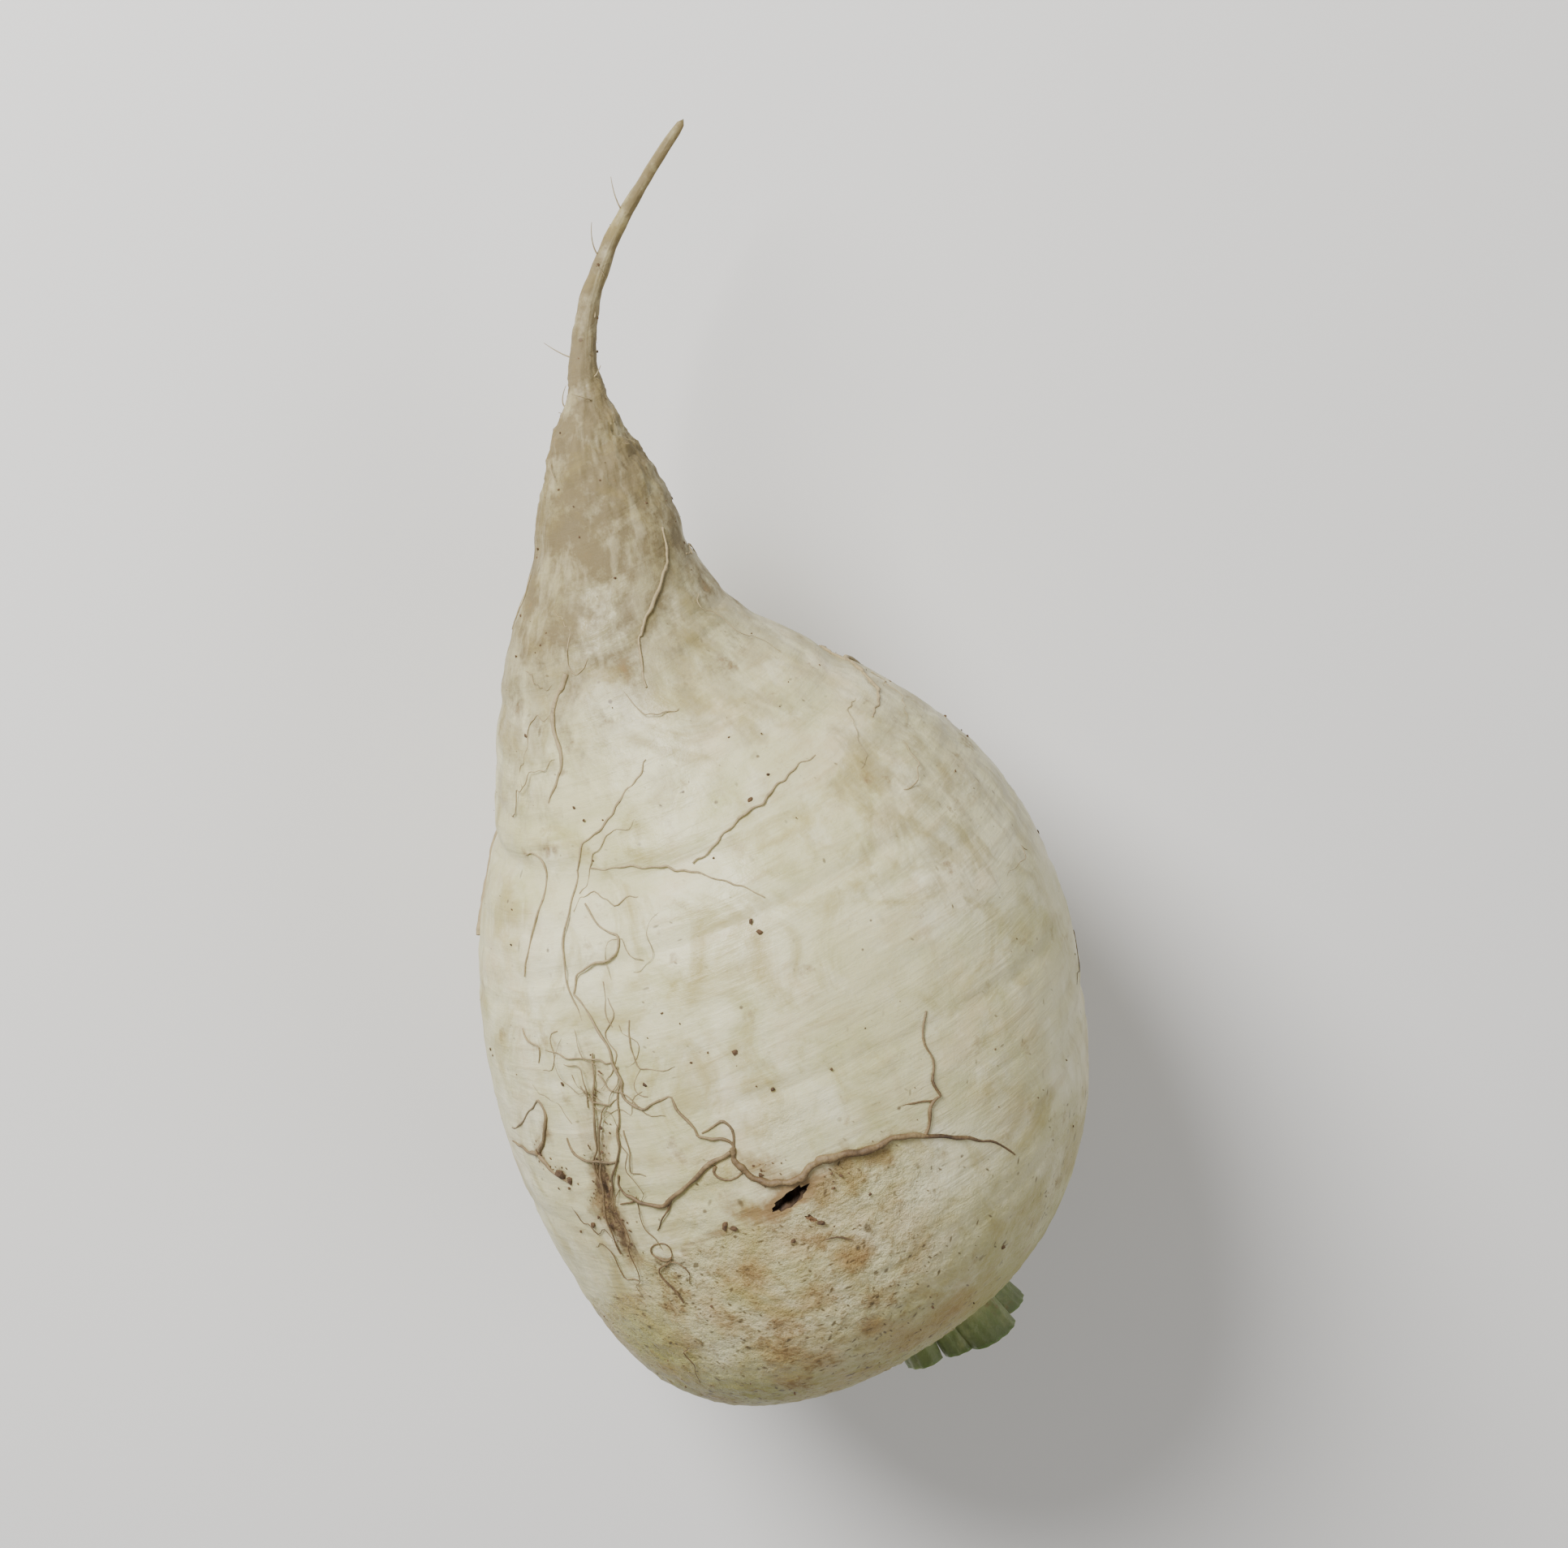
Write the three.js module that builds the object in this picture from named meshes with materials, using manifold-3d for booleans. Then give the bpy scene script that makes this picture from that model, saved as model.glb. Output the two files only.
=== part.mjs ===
// A short white winter radish lying on its side: the swollen root with its thin tail and fine side
// roots, and the cut leaf stalks at its crown. Millimetres, +Z up. The tail points towards -X and
// the crown towards +X. The origin is the middle of the small flat spot that the root rests on.
// Angles round the root are in degrees: 0 is the +Y side, 90 the top, 180 the -Y side, 270 below.
import Module from 'manifold-3d';
import * as THREE from 'three';
import { mergeVertices } from 'three/addons/utils/BufferGeometryUtils.js';

const wasm = await Module();
wasm.setup();
const { smoothstep, degToRad, radToDeg, lerp, clamp } = THREE.MathUtils;

// Driving dimensions of the root
const AXIS_HEIGHT = 35.3; // middle of the root above the surface it lies on
const HEIGHT_SHARE = 0.975; // height of the root for its width
const ROOT_OUTLINE = [
  // along, radius, middle sideways, middle up
  [-102.0, 0.0, 33.5, -10.0],
  [-101.6, 0.45, 32.9, -9.9],
  [-98.0, 0.7, 27.2, -9.2],
  [-93.0, 0.95, 20.2, -8.0],
  [-87.0, 1.3, 14.2, -6.2],
  [-80.5, 1.8, 10.4, -4.2],
  [-76.0, 2.9, 9.0, -3.0],
  [-72.0, 5.0, 7.5, -2.0],
  [-67.0, 7.3, 6.2, -1.2],
  [-61.0, 9.6, 4.2, -0.6],
  [-54.3, 12.5, 1.2, -0.2],
  [-46.8, 16.2, 0.0, 0.0],
  [-38.8, 21.3, 1.2, 0.0],
  [-30.5, 26.7, 2.1, 0.0],
  [-22.0, 31.9, 2.1, 0.0],
  [-12.0, 35.6, 1.7, 0.0],
  [0.0, 37.3, 0.6, 0.0],
  [9.0, 37.1, -0.4, 0.4],
  [17.0, 36.0, -1.1, 0.7],
  [25.0, 34.4, -1.6, 0.7],
  [32.0, 31.7, -1.7, 0.5],
  [38.2, 27.1, -1.2, 0.0],
  [42.4, 21.3, -0.3, -0.6],
  [44.8, 15.2, 1.1, -1.2],
  [45.4, 11.0, 2.1, -1.6],
  [44.9, 6.0, 2.9, -1.9],
  [44.6, 0.0, 3.2, -2.0],
];
const TANGENT_STEP = 0.002; // share of the root's stations
const HALVINGS = 30;
const NECK_START = -58; // from here on the rings turn to face along the tail
const NECK_END = -76;
const CROWN_SKEW = 0.17; // how far the crown end leans forward on its -Y side, per millimetre
const CROWN_SKEW_FROM = 5;
const CROWN_SKEW_TO = 42;
const RINGS = 60;
const SEGMENTS = 44;

// Relief of the skin, outwards in millimetres
const LOBES = [
  // share of the radius, times round, turn in degrees per millimetre, start in degrees
  { share: 0.012, times: 2, turn: 0.3, start: 20 },
  { share: 0.008, times: 3, turn: -0.8, start: 70 },
  { share: 0.004, times: 5, turn: 1.1, start: 200 },
];
const CREASES = [
  // along, lean in millimetres per degree about the middle angle, depth, half width, angles
  { along: -30.5, lean: -0.06, depth: 0.8, half: 1.9, from: 80, to: 215 },
  { along: -37, lean: 0.05, depth: 0.5, half: 1.5, from: 300, to: 420 },
  { along: -49, lean: 0.03, depth: 0.5, half: 1.6, from: 40, to: 230 },
  { along: -56, lean: -0.03, depth: 0.5, half: 1.5, from: 200, to: 400 },
  { along: -63, lean: 0.02, depth: 0.4, half: 1.4, from: 20, to: 300 },
  { along: 12, lean: 0.08, depth: 0.6, half: 2.0, from: 310, to: 400 },
  { along: -6, lean: -0.06, depth: 0.6, half: 1.8, from: 190, to: 262 },
  { along: 28, lean: 0.05, depth: 0.5, half: 1.9, from: 200, to: 330 },
];
const CREASE_FADE = 18; // degrees over which a crease fades out at its ends
const RELIEF_FADES_IN = [2, 12]; // radius of the root over which its relief grows to full depth

// The flat spot under the weight, and the hollows cut in the skin
const FLOOR_BLOCK = 80;
// as seen from above and a little from the tail end, along and across in millimetres
const VIEW_ELEVATION = degToRad(75);
const VIEW_PASSES = 12;
const SEEN_GROOVES = [
  // the shallow brown furrow that several side roots come out of, and two small holes
  { radius: 1.5, lift: 0.7, route: [[-6, -20], [2, -23], [8.5, -26.3], [14.5, -27.7], [20.5, -27.4]] },
  { radius: 1.0, lift: -0.35, route: [[21, -9], [20.5, -6.8], [20, -4.5]] },
  { radius: 0.55, lift: -0.1, route: [[23, -6.2], [23.7, -5.6], [24.5, -5]] },
];
const LENTICELS = [
  // short cross grooves where side roots once grew, on the two root rows and the underside
  { along: -17, angle: 318, span: 14 },
  { along: 4, angle: 322, span: 12 },
  { along: 24, angle: 311, span: 13 },
  { along: -33, angle: 142, span: 15 },
  { along: -2, angle: 212, span: 11 },
  { along: 31, angle: 158, span: 14 },
  { along: -27, angle: 236, span: 12 },
];
const LENTICEL_RADIUS = 0.6;
const LENTICEL_LIFT = 0.15;

// Side roots that lie on the skin, their routes seen the same way
const SIDE_ROOTS = [
  // the thickest, which passes the hole, and its two ends
  {
    radius: 0.5,
    route: [[12.4, -10.5], [15, -10.4], [17.8, -8.1], [18.5, -4.5], [17.5, -1.5], [18.8, 3.5]],
  },
  { radius: 0.4, route: [[18.6, 2.5], [18.8, 5.8], [19.2, 8.3], [21.9, 13.4], [24.6, 17.4], [27.5, 19]] },
  { radius: 0.3, route: [[20.1, 10.7], [17, 12.9], [14.8, 13.9], [12.5, 14.8], [7, 16.4]] },
  // the long thin one towards the tail
  { radius: 0.3, route: [[-32.8, -1.3], [-29.7, -6.2], [-26.9, -11.9], [-24.4, -14.3]] },
  { radius: 0.3, route: [[-24.4, -14.3], [-21.6, -16], [-17.5, -18.7], [-12.9, -20.3], [-8, -20.5]] },
  { radius: 0.3, route: [[-20.2, -14.8], [-15.3, -12.6], [-13.5, -16.5], [-11.1, -20.2]] },
  {
    radius: 0.36,
    route: [[-11.1, -20.2], [-6.7, -19.1], [1.6, -19.5], [4.1, -17.5], [4.1, -14.4], [9.6, -13.4], [12, -11]],
  },
  // those that come out of the furrow and beside it
  {
    radius: 0.42,
    route: [[12.6, -10.8], [13.2, -14.4], [15.4, -19.8], [15.3, -21.2], [13.6, -23.7], [11.3, -24.6]],
  },
  { radius: 0.32, route: [[4.1, -28.4], [6.7, -28.1], [8.2, -25.2], [8.8, -23.4]] },
  { radius: 0.36, route: [[1.1, -35.3], [-0.3, -31.7], [-1.2, -30.1], [1.6, -30.3], [4.5, -32.6]] },
  { radius: 0.36, route: [[2.5, -36.1], [4.4, -34.1], [6.5, -32.5], [9.3, -30.5]] },
  { radius: 0.3, route: [[21.7, -22.9], [22.5, -24.3], [25, -24.2], [27.5, -23.7]] },
  // single ones between the furrow and the tail
  { radius: 0.3, route: [[-28.5, -19.6], [-27.3, -17.9], [-21.2, -21], [-15.2, -25.5]] },
  { radius: 0.32, route: [[-25.3, 16.7], [-23.8, 11.1], [-22, 5], [-19.6, -1.4]] },
  { radius: 0.3, route: [[-23.8, -12.8], [-20.7, -4.9], [-15.9, 1.9], [-12.8, 4.9]] },
  { radius: 0.32, route: [[-57.4, 11.3], [-52.1, 9.1], [-47.8, 5], [-40.5, 2]] },
  { radius: 0.32, route: [[-46, -6], [-42, -9.5], [-37, -10.5], [-33, -14]] },
];
const HIDDEN_SIDE_ROOTS = 9; // more of them on the flanks and the underside, grown by a rule
const HIDDEN_ROOT_RADIUS = 0.36;
const HIDDEN_ROOT_STEPS = [5, 9];
const HIDDEN_ROOT_STEP = 3.2;
const HIDDEN_ROOT_BEND = 0.7; // most that it turns at a step, in radians
const HIDDEN_ROOT_START = { along: [-40, 34], degrees: [285, 345] };
const HIDDEN_ROOT_ALONG = [-50, 38];
const OTHER_ROW_SHARE = 0.35; // how many start lower down instead
const OTHER_ROW_DEGREES = 110;
const HIDDEN_ROOT_SEED = 21;
const REST_CLEARANCE = 15; // side roots keep this far from the middle of the flat spot
const SIDE_ROOT_SIDES = 4;
const SIDE_ROOT_SPACING = 2.8;
const SUNK_SHARE = 0.35; // a side root's middle lies this much of its radius below half of it
const STRAND_TIP = 0.03; // share of a strand's length that each pointed end takes
const STRAND_PROBE = 5; // lift at which the way out of the skin is measured

// Driving dimensions of the cut leaf stalks, in their own frame with +Z out of the crown
const STALKS = 12;
const HEART_STALK = { width: 2.4, thick: 1.7, out: 0.1, lean: degToRad(2) };
const OUTER_STALK = { width: 6.6, thick: 2.8, out: 5.6, lean: degToRad(13) };
const STALK_LENGTH = 14; // before the knife cut
const STALK_SUNK = 1;
const GOLDEN_ANGLE = degToRad(137.5);
const STALK_CUT_HEIGHT = 6.6;
const STALK_CUT_TILT = degToRad(7);
const CROWN_TURN = degToRad(11);
const CROWN_DROOP = degToRad(4);
const CROWN_DISC = [
  // radius, height
  [0, -2.0],
  [8.8, -2.0],
  [9.6, -0.9],
  [9.5, 0.7],
  [8.2, 1.5],
  [4.0, 2.0],
  [0, 2.1],
];
const FIT_GAP = 0.3; // left between the disc and the hollow that it sits in
const FIT_SOCKET_TOP = 12; // the hollow is open outwards
const CROWN_SEGMENTS = 36;

const skinMaterial = new THREE.MeshStandardMaterial({ color: 0xdad3bc, roughness: 0.5, metalness: 0 });
const stalkMaterial = new THREE.MeshStandardMaterial({ color: 0x8a9a5b, roughness: 0.55, metalness: 0 });

// A seeded draw between 0 and 1, the same every time
function seeded(seed) {
  let state = seed;
  return () => {
    state = (state * 1664525 + 1013904223) % 4294967296;
    return state / 4294967296;
  };
}

// The outline and the middle line share their stations
const outline = new THREE.CatmullRomCurve3(ROOT_OUTLINE.map(([x, r]) => new THREE.Vector3(x, r, 0)));
outline.arcLengthDivisions = 1200;
const middle = new THREE.CatmullRomCurve3(
  ROOT_OUTLINE.map(([, , y, z]) => new THREE.Vector3(0, y, z)),
);
const lengths = ROOT_OUTLINE.map(([x]) => x);
const foremost = lengths.indexOf(Math.max(...lengths)) / (lengths.length - 1);

function spine(t) {
  const line = middle.getPoint(t);
  return new THREE.Vector3(outline.getPoint(t).x, line.y, AXIS_HEIGHT + line.z);
}

function relief(x, degrees, radius) {
  let out = 0;
  for (const { share, times, turn, start } of LOBES) {
    out += share * radius * Math.sin(degToRad(times * degrees + turn * x + start));
  }
  for (const { along, lean, depth, half, from, to } of CREASES) {
    const centre = (from + to) / 2;
    const reach = (to - from) / 2;
    const aside = ((((degrees - centre) % 360) + 540) % 360) - 180;
    const fade = 1 - smoothstep(Math.abs(aside), reach - CREASE_FADE, reach);
    out -= depth * fade * Math.exp(-(((x - along - lean * aside) / half) ** 2));
  }
  return out;
}

// The point of the skin at station t, an angle in degrees, and a lift off the skin
function skin(t, degrees, lift = 0) {
  const { x, y: radius } = outline.getPoint(t);
  const centre = spine(t);
  const forward = new THREE.Vector3(1, 0, 0);
  const neck = smoothstep(-x, -NECK_START, -NECK_END);
  if (neck > 0) {
    const ahead = spine(Math.min(1, t + TANGENT_STEP)).sub(spine(Math.max(0, t - TANGENT_STEP)));
    ahead.normalize();
    forward.lerp(ahead, neck).normalize();
  }
  const sideways = new THREE.Vector3(0, 0, 1).cross(forward).normalize();
  const up = forward.clone().cross(sideways);
  const body = smoothstep(radius, ...RELIEF_FADES_IN);
  const r = radius + body * relief(x, degrees, radius) + lift;
  const angle = degToRad(degrees);
  const across = r * Math.cos(angle);
  const point = centre.addScaledVector(sideways, across);
  point.addScaledVector(up, r * Math.sin(angle) * HEIGHT_SHARE);
  point.x -= CROWN_SKEW * smoothstep(x, CROWN_SKEW_FROM, CROWN_SKEW_TO) * across;
  return point;
}

// The station at a length along the root, by halving
function stationAt(x) {
  let low = 0;
  let high = foremost;
  for (let i = 0; i < HALVINGS; i += 1) {
    const half = (low + high) / 2;
    if (outline.getPoint(half).x < x) low = half;
    else high = half;
  }
  return (low + high) / 2;
}

// Station and angle of the skin under a point as seen from above and a little from the tail end
function underView([along, across]) {
  let x = along;
  let place = { t: 0, degrees: 90 };
  for (let i = 0; i < VIEW_PASSES; i += 1) {
    const t = stationAt(x);
    const radius = outline.getPoint(t).y;
    const aside = across - middle.getPoint(t).y;
    const degrees = radToDeg(Math.acos(clamp(aside / radius, -1, 1)));
    const height = skin(t, degrees).z - AXIS_HEIGHT;
    place = { t, degrees };
    const skew = CROWN_SKEW * smoothstep(x, CROWN_SKEW_FROM, CROWN_SKEW_TO) * aside;
    x = (along - height * Math.cos(VIEW_ELEVATION)) / Math.sin(VIEW_ELEVATION) + skew;
  }
  return place;
}

// A closed skin over rings of points, with a point at each end
function closedGrid(rings, first, last) {
  const sides = rings[0].length;
  const points = [first, ...rings.flat(), last];
  const at = (ring, side) => 1 + ring * sides + (side % sides);
  const index = [];
  for (let side = 0; side < sides; side += 1) {
    index.push(0, at(0, side + 1), at(0, side));
    index.push(points.length - 1, at(rings.length - 1, side), at(rings.length - 1, side + 1));
    for (let ring = 0; ring < rings.length - 1; ring += 1) {
      index.push(at(ring, side), at(ring, side + 1), at(ring + 1, side + 1));
      index.push(at(ring, side), at(ring + 1, side + 1), at(ring + 1, side));
    }
  }
  return new THREE.BufferGeometry().setFromPoints(points).setIndex(index);
}

function toSolid(geometry) {
  const bare = geometry.clone();
  bare.deleteAttribute('normal');
  bare.deleteAttribute('uv');
  const merged = mergeVertices(bare, 1e-4);
  return new wasm.Manifold(
    new wasm.Mesh({
      numProp: 3,
      vertProperties: Float32Array.from(merged.attributes.position.array),
      triVerts: Uint32Array.from(merged.index.array),
    }),
  );
}

function toGeometry(solid) {
  const mesh = solid.getMesh();
  const geometry = new THREE.BufferGeometry();
  geometry.setAttribute('position', new THREE.BufferAttribute(mesh.vertProperties, 3));
  geometry.setIndex(new THREE.BufferAttribute(mesh.triVerts, 1));
  geometry.computeVertexNormals();
  return geometry;
}

// A strand that tapers to a point at both ends, along places on the skin given as station and angle
function strandOnSkin(places, radius, lift, taper) {
  const line = new THREE.CatmullRomCurve3(places.map(({ t, degrees }) => skin(t, degrees, lift)));
  const above = places.map(({ t, degrees }) => skin(t, degrees, lift + STRAND_PROBE));
  const outward = new THREE.CatmullRomCurve3(above);
  const steps = Math.max(4, Math.round(line.getLength() / SIDE_ROOT_SPACING));
  const rings = [];
  for (let i = 0; i <= steps; i += 1) {
    const share = i / steps;
    const u = lerp(STRAND_TIP, 1 - STRAND_TIP, share);
    const centre = line.getPoint(u);
    const forward = line.getTangent(u);
    const out = outward.getPoint(u).sub(centre).normalize();
    const side = out.clone().cross(forward).normalize();
    const rise = forward.clone().cross(side);
    const size = radius * taper(share);
    rings.push(
      Array.from({ length: SIDE_ROOT_SIDES }, (_, k) => {
        const angle = (2 * Math.PI * (k + 0.5)) / SIDE_ROOT_SIDES;
        const point = centre.clone().addScaledVector(side, size * Math.cos(angle));
        return point.addScaledVector(rise, size * Math.sin(angle));
      }),
    );
  }
  return toSolid(closedGrid(rings, line.getPoint(0), line.getPoint(1)));
}

function onSkin([along, degrees]) {
  return { t: stationAt(along), degrees };
}

function rootletTaper(share) {
  return 1 - 0.45 * share;
}

function grooveTaper(share) {
  return 0.25 + 0.75 * Math.sin(Math.PI * lerp(0.08, 0.92, share));
}

// A side root on the flanks or the underside: it starts on a row of scars and wanders
function hiddenSideRoot(draw) {
  let along = lerp(...HIDDEN_ROOT_START.along, draw());
  let degrees = lerp(...HIDDEN_ROOT_START.degrees, draw());
  if (draw() < OTHER_ROW_SHARE) degrees -= OTHER_ROW_DEGREES;
  let heading = 2 * Math.PI * draw();
  const places = [];
  const steps = Math.round(lerp(HIDDEN_ROOT_STEPS[0], HIDDEN_ROOT_STEPS[1], draw()));
  for (let i = 0; i < steps; i += 1) {
    const place = onSkin([along, degrees]);
    const foot = skin(place.t, place.degrees);
    if (Math.hypot(foot.x, foot.y) > REST_CLEARANCE || foot.z > REST_CLEARANCE) places.push(place);
    else break;
    heading += lerp(-HIDDEN_ROOT_BEND, HIDDEN_ROOT_BEND, draw());
    along = clamp(along + HIDDEN_ROOT_STEP * Math.cos(heading), ...HIDDEN_ROOT_ALONG);
    const radius = outline.getPoint(place.t).y;
    degrees += radToDeg((HIDDEN_ROOT_STEP * Math.sin(heading)) / radius);
  }
  return places;
}

// A round shape turned about +Z from a closed profile of radius and height
function turned(profile) {
  return new THREE.LatheGeometry(profile, CROWN_SEGMENTS).rotateX(Math.PI / 2);
}

// The swollen root
function makeRoot(crownMatrix) {
  const rings = [];
  for (let i = 1; i < RINGS; i += 1) {
    const t = outline.getUtoTmapping(i / RINGS);
    rings.push(Array.from({ length: SEGMENTS }, (_, k) => skin(t, (360 * k) / SEGMENTS)));
  }
  let root = toSolid(closedGrid(rings, skin(0, 0), skin(1, 0)));

  const grooves = SEEN_GROOVES.map(({ radius, lift, route }) =>
    strandOnSkin(route.map(underView), radius, lift, grooveTaper),
  );
  for (const { along, angle, span } of LENTICELS) {
    const places = [angle - span / 2, angle, angle + span / 2].map((degrees) => onSkin([along, degrees]));
    grooves.push(strandOnSkin(places, LENTICEL_RADIUS, LENTICEL_LIFT, grooveTaper));
  }
  for (const groove of grooves) root = root.subtract(groove);

  for (const { radius, route } of SIDE_ROOTS) {
    const places = route.map(underView);
    root = root.add(strandOnSkin(places, radius, radius * (0.5 - SUNK_SHARE), rootletTaper));
  }
  const draw = seeded(HIDDEN_ROOT_SEED);
  for (let i = 0; i < HIDDEN_SIDE_ROOTS; i += 1) {
    const places = hiddenSideRoot(draw);
    if (places.length < 3) continue;
    const lift = HIDDEN_ROOT_RADIUS * (0.5 - SUNK_SHARE);
    root = root.add(strandOnSkin(places, HIDDEN_ROOT_RADIUS, lift, rootletTaper));
  }

  const below = new THREE.BoxGeometry(FLOOR_BLOCK, FLOOR_BLOCK, FLOOR_BLOCK);
  below.translate(0, 0, -FLOOR_BLOCK / 2);
  root = root.subtract(toSolid(below));

  const socket = CROWN_DISC.slice(1, 4).map(([r, h]) => new THREE.Vector2(r + FIT_GAP, h));
  socket[0].y -= FIT_GAP;
  socket.unshift(new THREE.Vector2(0, socket[0].y));
  socket.push(new THREE.Vector2(socket[3].x, FIT_SOCKET_TOP), new THREE.Vector2(0, FIT_SOCKET_TOP));
  const socketShape = turned(socket);
  socketShape.applyMatrix4(crownMatrix);
  return toGeometry(root.subtract(toSolid(socketShape)));
}

// The cut leaf stalks, spiralling out from the heart, on the disc that they grow from
function makeStalks() {
  const disc = CROWN_DISC.map(([r, h]) => new THREE.Vector2(r, h));
  let stalks = toSolid(turned(disc));
  for (let i = 0; i < STALKS; i += 1) {
    const grown = Math.sqrt(i / (STALKS - 1));
    const width = lerp(HEART_STALK.width, OUTER_STALK.width, grown);
    const thick = lerp(HEART_STALK.thick, OUTER_STALK.thick, grown);
    const shape = new THREE.Shape();
    shape.moveTo(-width / 2, 0);
    shape.quadraticCurveTo(-width / 2, thick * 0.95, 0, thick);
    shape.quadraticCurveTo(width / 2, thick * 0.95, width / 2, 0);
    shape.quadraticCurveTo(0, thick * 0.45, -width / 2, 0);
    const stalk = new THREE.ExtrudeGeometry(shape, {
      depth: STALK_LENGTH,
      bevelEnabled: false,
      curveSegments: 4,
    });
    stalk.translate(0, 0, -STALK_SUNK);
    stalk.rotateX(-lerp(HEART_STALK.lean, OUTER_STALK.lean, grown));
    stalk.translate(0, lerp(HEART_STALK.out, OUTER_STALK.out, grown), 0);
    stalk.rotateZ(i * GOLDEN_ANGLE);
    stalks = stalks.add(toSolid(stalk));
  }
  const above = new THREE.BoxGeometry(FLOOR_BLOCK, FLOOR_BLOCK, FLOOR_BLOCK);
  above.translate(0, 0, FLOOR_BLOCK / 2);
  above.rotateX(STALK_CUT_TILT);
  above.translate(0, 0, STALK_CUT_HEIGHT);
  return toGeometry(stalks.subtract(toSolid(above)));
}

const crown = new THREE.Object3D();
const crownOut = new THREE.Vector3(
  Math.cos(CROWN_TURN) * Math.cos(CROWN_DROOP),
  Math.sin(CROWN_TURN) * Math.cos(CROWN_DROOP),
  -Math.sin(CROWN_DROOP),
);
crown.position.copy(skin(1, 0));
crown.quaternion.setFromUnitVectors(new THREE.Vector3(0, 0, 1), crownOut);
crown.updateMatrix();

const rootBody = new THREE.Mesh(makeRoot(crown.matrix), skinMaterial);
rootBody.name = 'root_body';

const leafStalks = new THREE.Mesh(makeStalks(), stalkMaterial);
leafStalks.name = 'leaf_stalks';
leafStalks.position.copy(crown.position);
leafStalks.quaternion.copy(crown.quaternion);

const radish = new THREE.Group();
radish.add(rootBody, leafStalks);

export default radish;
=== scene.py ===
import math
import random

import bpy
import numpy as np
from mathutils import Matrix, Vector
from mathutils import noise as rough


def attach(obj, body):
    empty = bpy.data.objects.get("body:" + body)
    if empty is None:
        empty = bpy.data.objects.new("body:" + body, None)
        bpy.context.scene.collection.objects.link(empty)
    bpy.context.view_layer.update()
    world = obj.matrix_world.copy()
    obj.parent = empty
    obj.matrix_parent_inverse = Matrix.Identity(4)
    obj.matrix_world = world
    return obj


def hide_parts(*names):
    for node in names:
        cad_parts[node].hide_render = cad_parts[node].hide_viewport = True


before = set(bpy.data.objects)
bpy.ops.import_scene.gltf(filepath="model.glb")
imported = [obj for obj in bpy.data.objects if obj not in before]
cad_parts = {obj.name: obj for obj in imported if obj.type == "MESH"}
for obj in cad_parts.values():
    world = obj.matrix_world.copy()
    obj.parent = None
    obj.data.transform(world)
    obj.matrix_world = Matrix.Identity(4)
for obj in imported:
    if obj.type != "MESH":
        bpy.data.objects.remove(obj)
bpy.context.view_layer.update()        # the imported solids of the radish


# The swollen root with its thin tail: one piece of firm white flesh in a thin waxy skin. It grew
# in soil, so it has creases round it, scars where side roots came out, a small hole bored by a
# slug and soil stains, and its top end was green in the light.
MM = 0.001  # all sizes are in millimetres
AXIS_HEIGHT = 35.3  # middle of the root above the floor
HEIGHT_SHARE = 0.975  # height of the root for its width
ROOT_OUTLINE = np.array([
    # along, radius, middle sideways, middle up
    (-102.0, 0.0, 33.5, -10.0),
    (-101.6, 0.45, 32.9, -9.9),
    (-98.0, 0.7, 27.2, -9.2),
    (-93.0, 0.95, 20.2, -8.0),
    (-87.0, 1.3, 14.2, -6.2),
    (-80.5, 1.8, 10.4, -4.2),
    (-76.0, 2.9, 9.0, -3.0),
    (-72.0, 5.0, 7.5, -2.0),
    (-67.0, 7.3, 6.2, -1.2),
    (-61.0, 9.6, 4.2, -0.6),
    (-54.3, 12.5, 1.2, -0.2),
    (-46.8, 16.2, 0.0, 0.0),
    (-38.8, 21.3, 1.2, 0.0),
    (-30.5, 26.7, 2.1, 0.0),
    (-22.0, 31.9, 2.1, 0.0),
    (-12.0, 35.6, 1.7, 0.0),
    (0.0, 37.3, 0.6, 0.0),
    (9.0, 37.1, -0.4, 0.4),
    (17.0, 36.0, -1.1, 0.7),
    (25.0, 34.4, -1.6, 0.7),
    (32.0, 31.7, -1.7, 0.5),
    (38.2, 27.1, -1.2, 0.0),
    (42.4, 21.3, -0.3, -0.6),
    (44.8, 15.2, 1.1, -1.2),
    (45.4, 11.0, 2.1, -1.6),
    (44.9, 6.0, 2.9, -1.9),
    (44.6, 0.0, 3.2, -2.0),
])
TANGENT_STEP = 0.002  # share of the root's stations
NECK_ALONG = (-58, -76)  # between these the rings turn to face along the tail
CROWN_SKEW = 0.17  # how far the crown end leans forward on its -Y side, per millimetre
CROWN_SKEW_ALONG = (5, 42)
RELIEF_FADES_IN = (2, 12)  # radius of the root over which its relief grows to full depth

# Relief, with angles in degrees: 0 is the +Y side, 90 the top, 180 the -Y side and 270 below
LOBES = [
    # share of the radius, times round, turn a millimetre, start
    (0.012, 2, 0.3, 20),
    (0.008, 3, -0.8, 70),
    (0.004, 5, 1.1, 200),
]
CREASES = [
    # along, lean a degree, depth, half width, from angle, to angle
    (-30.5, -0.06, 0.8, 1.9, 80, 215),
    (-37, 0.05, 0.5, 1.5, 300, 420),
    (-49, 0.03, 0.5, 1.6, 40, 230),
    (-56, -0.03, 0.5, 1.5, 200, 400),
    (-63, 0.02, 0.4, 1.4, 20, 300),
    (12, 0.08, 0.6, 2.0, 310, 400),
    (-6, -0.06, 0.6, 1.8, 190, 262),
    (28, 0.05, 0.5, 1.9, 200, 330),
]
CREASE_FADE = 18  # degrees over which a crease fades out at its ends
FINE_CREASES = 110
FINE_CREASE_FADE = 20
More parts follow.
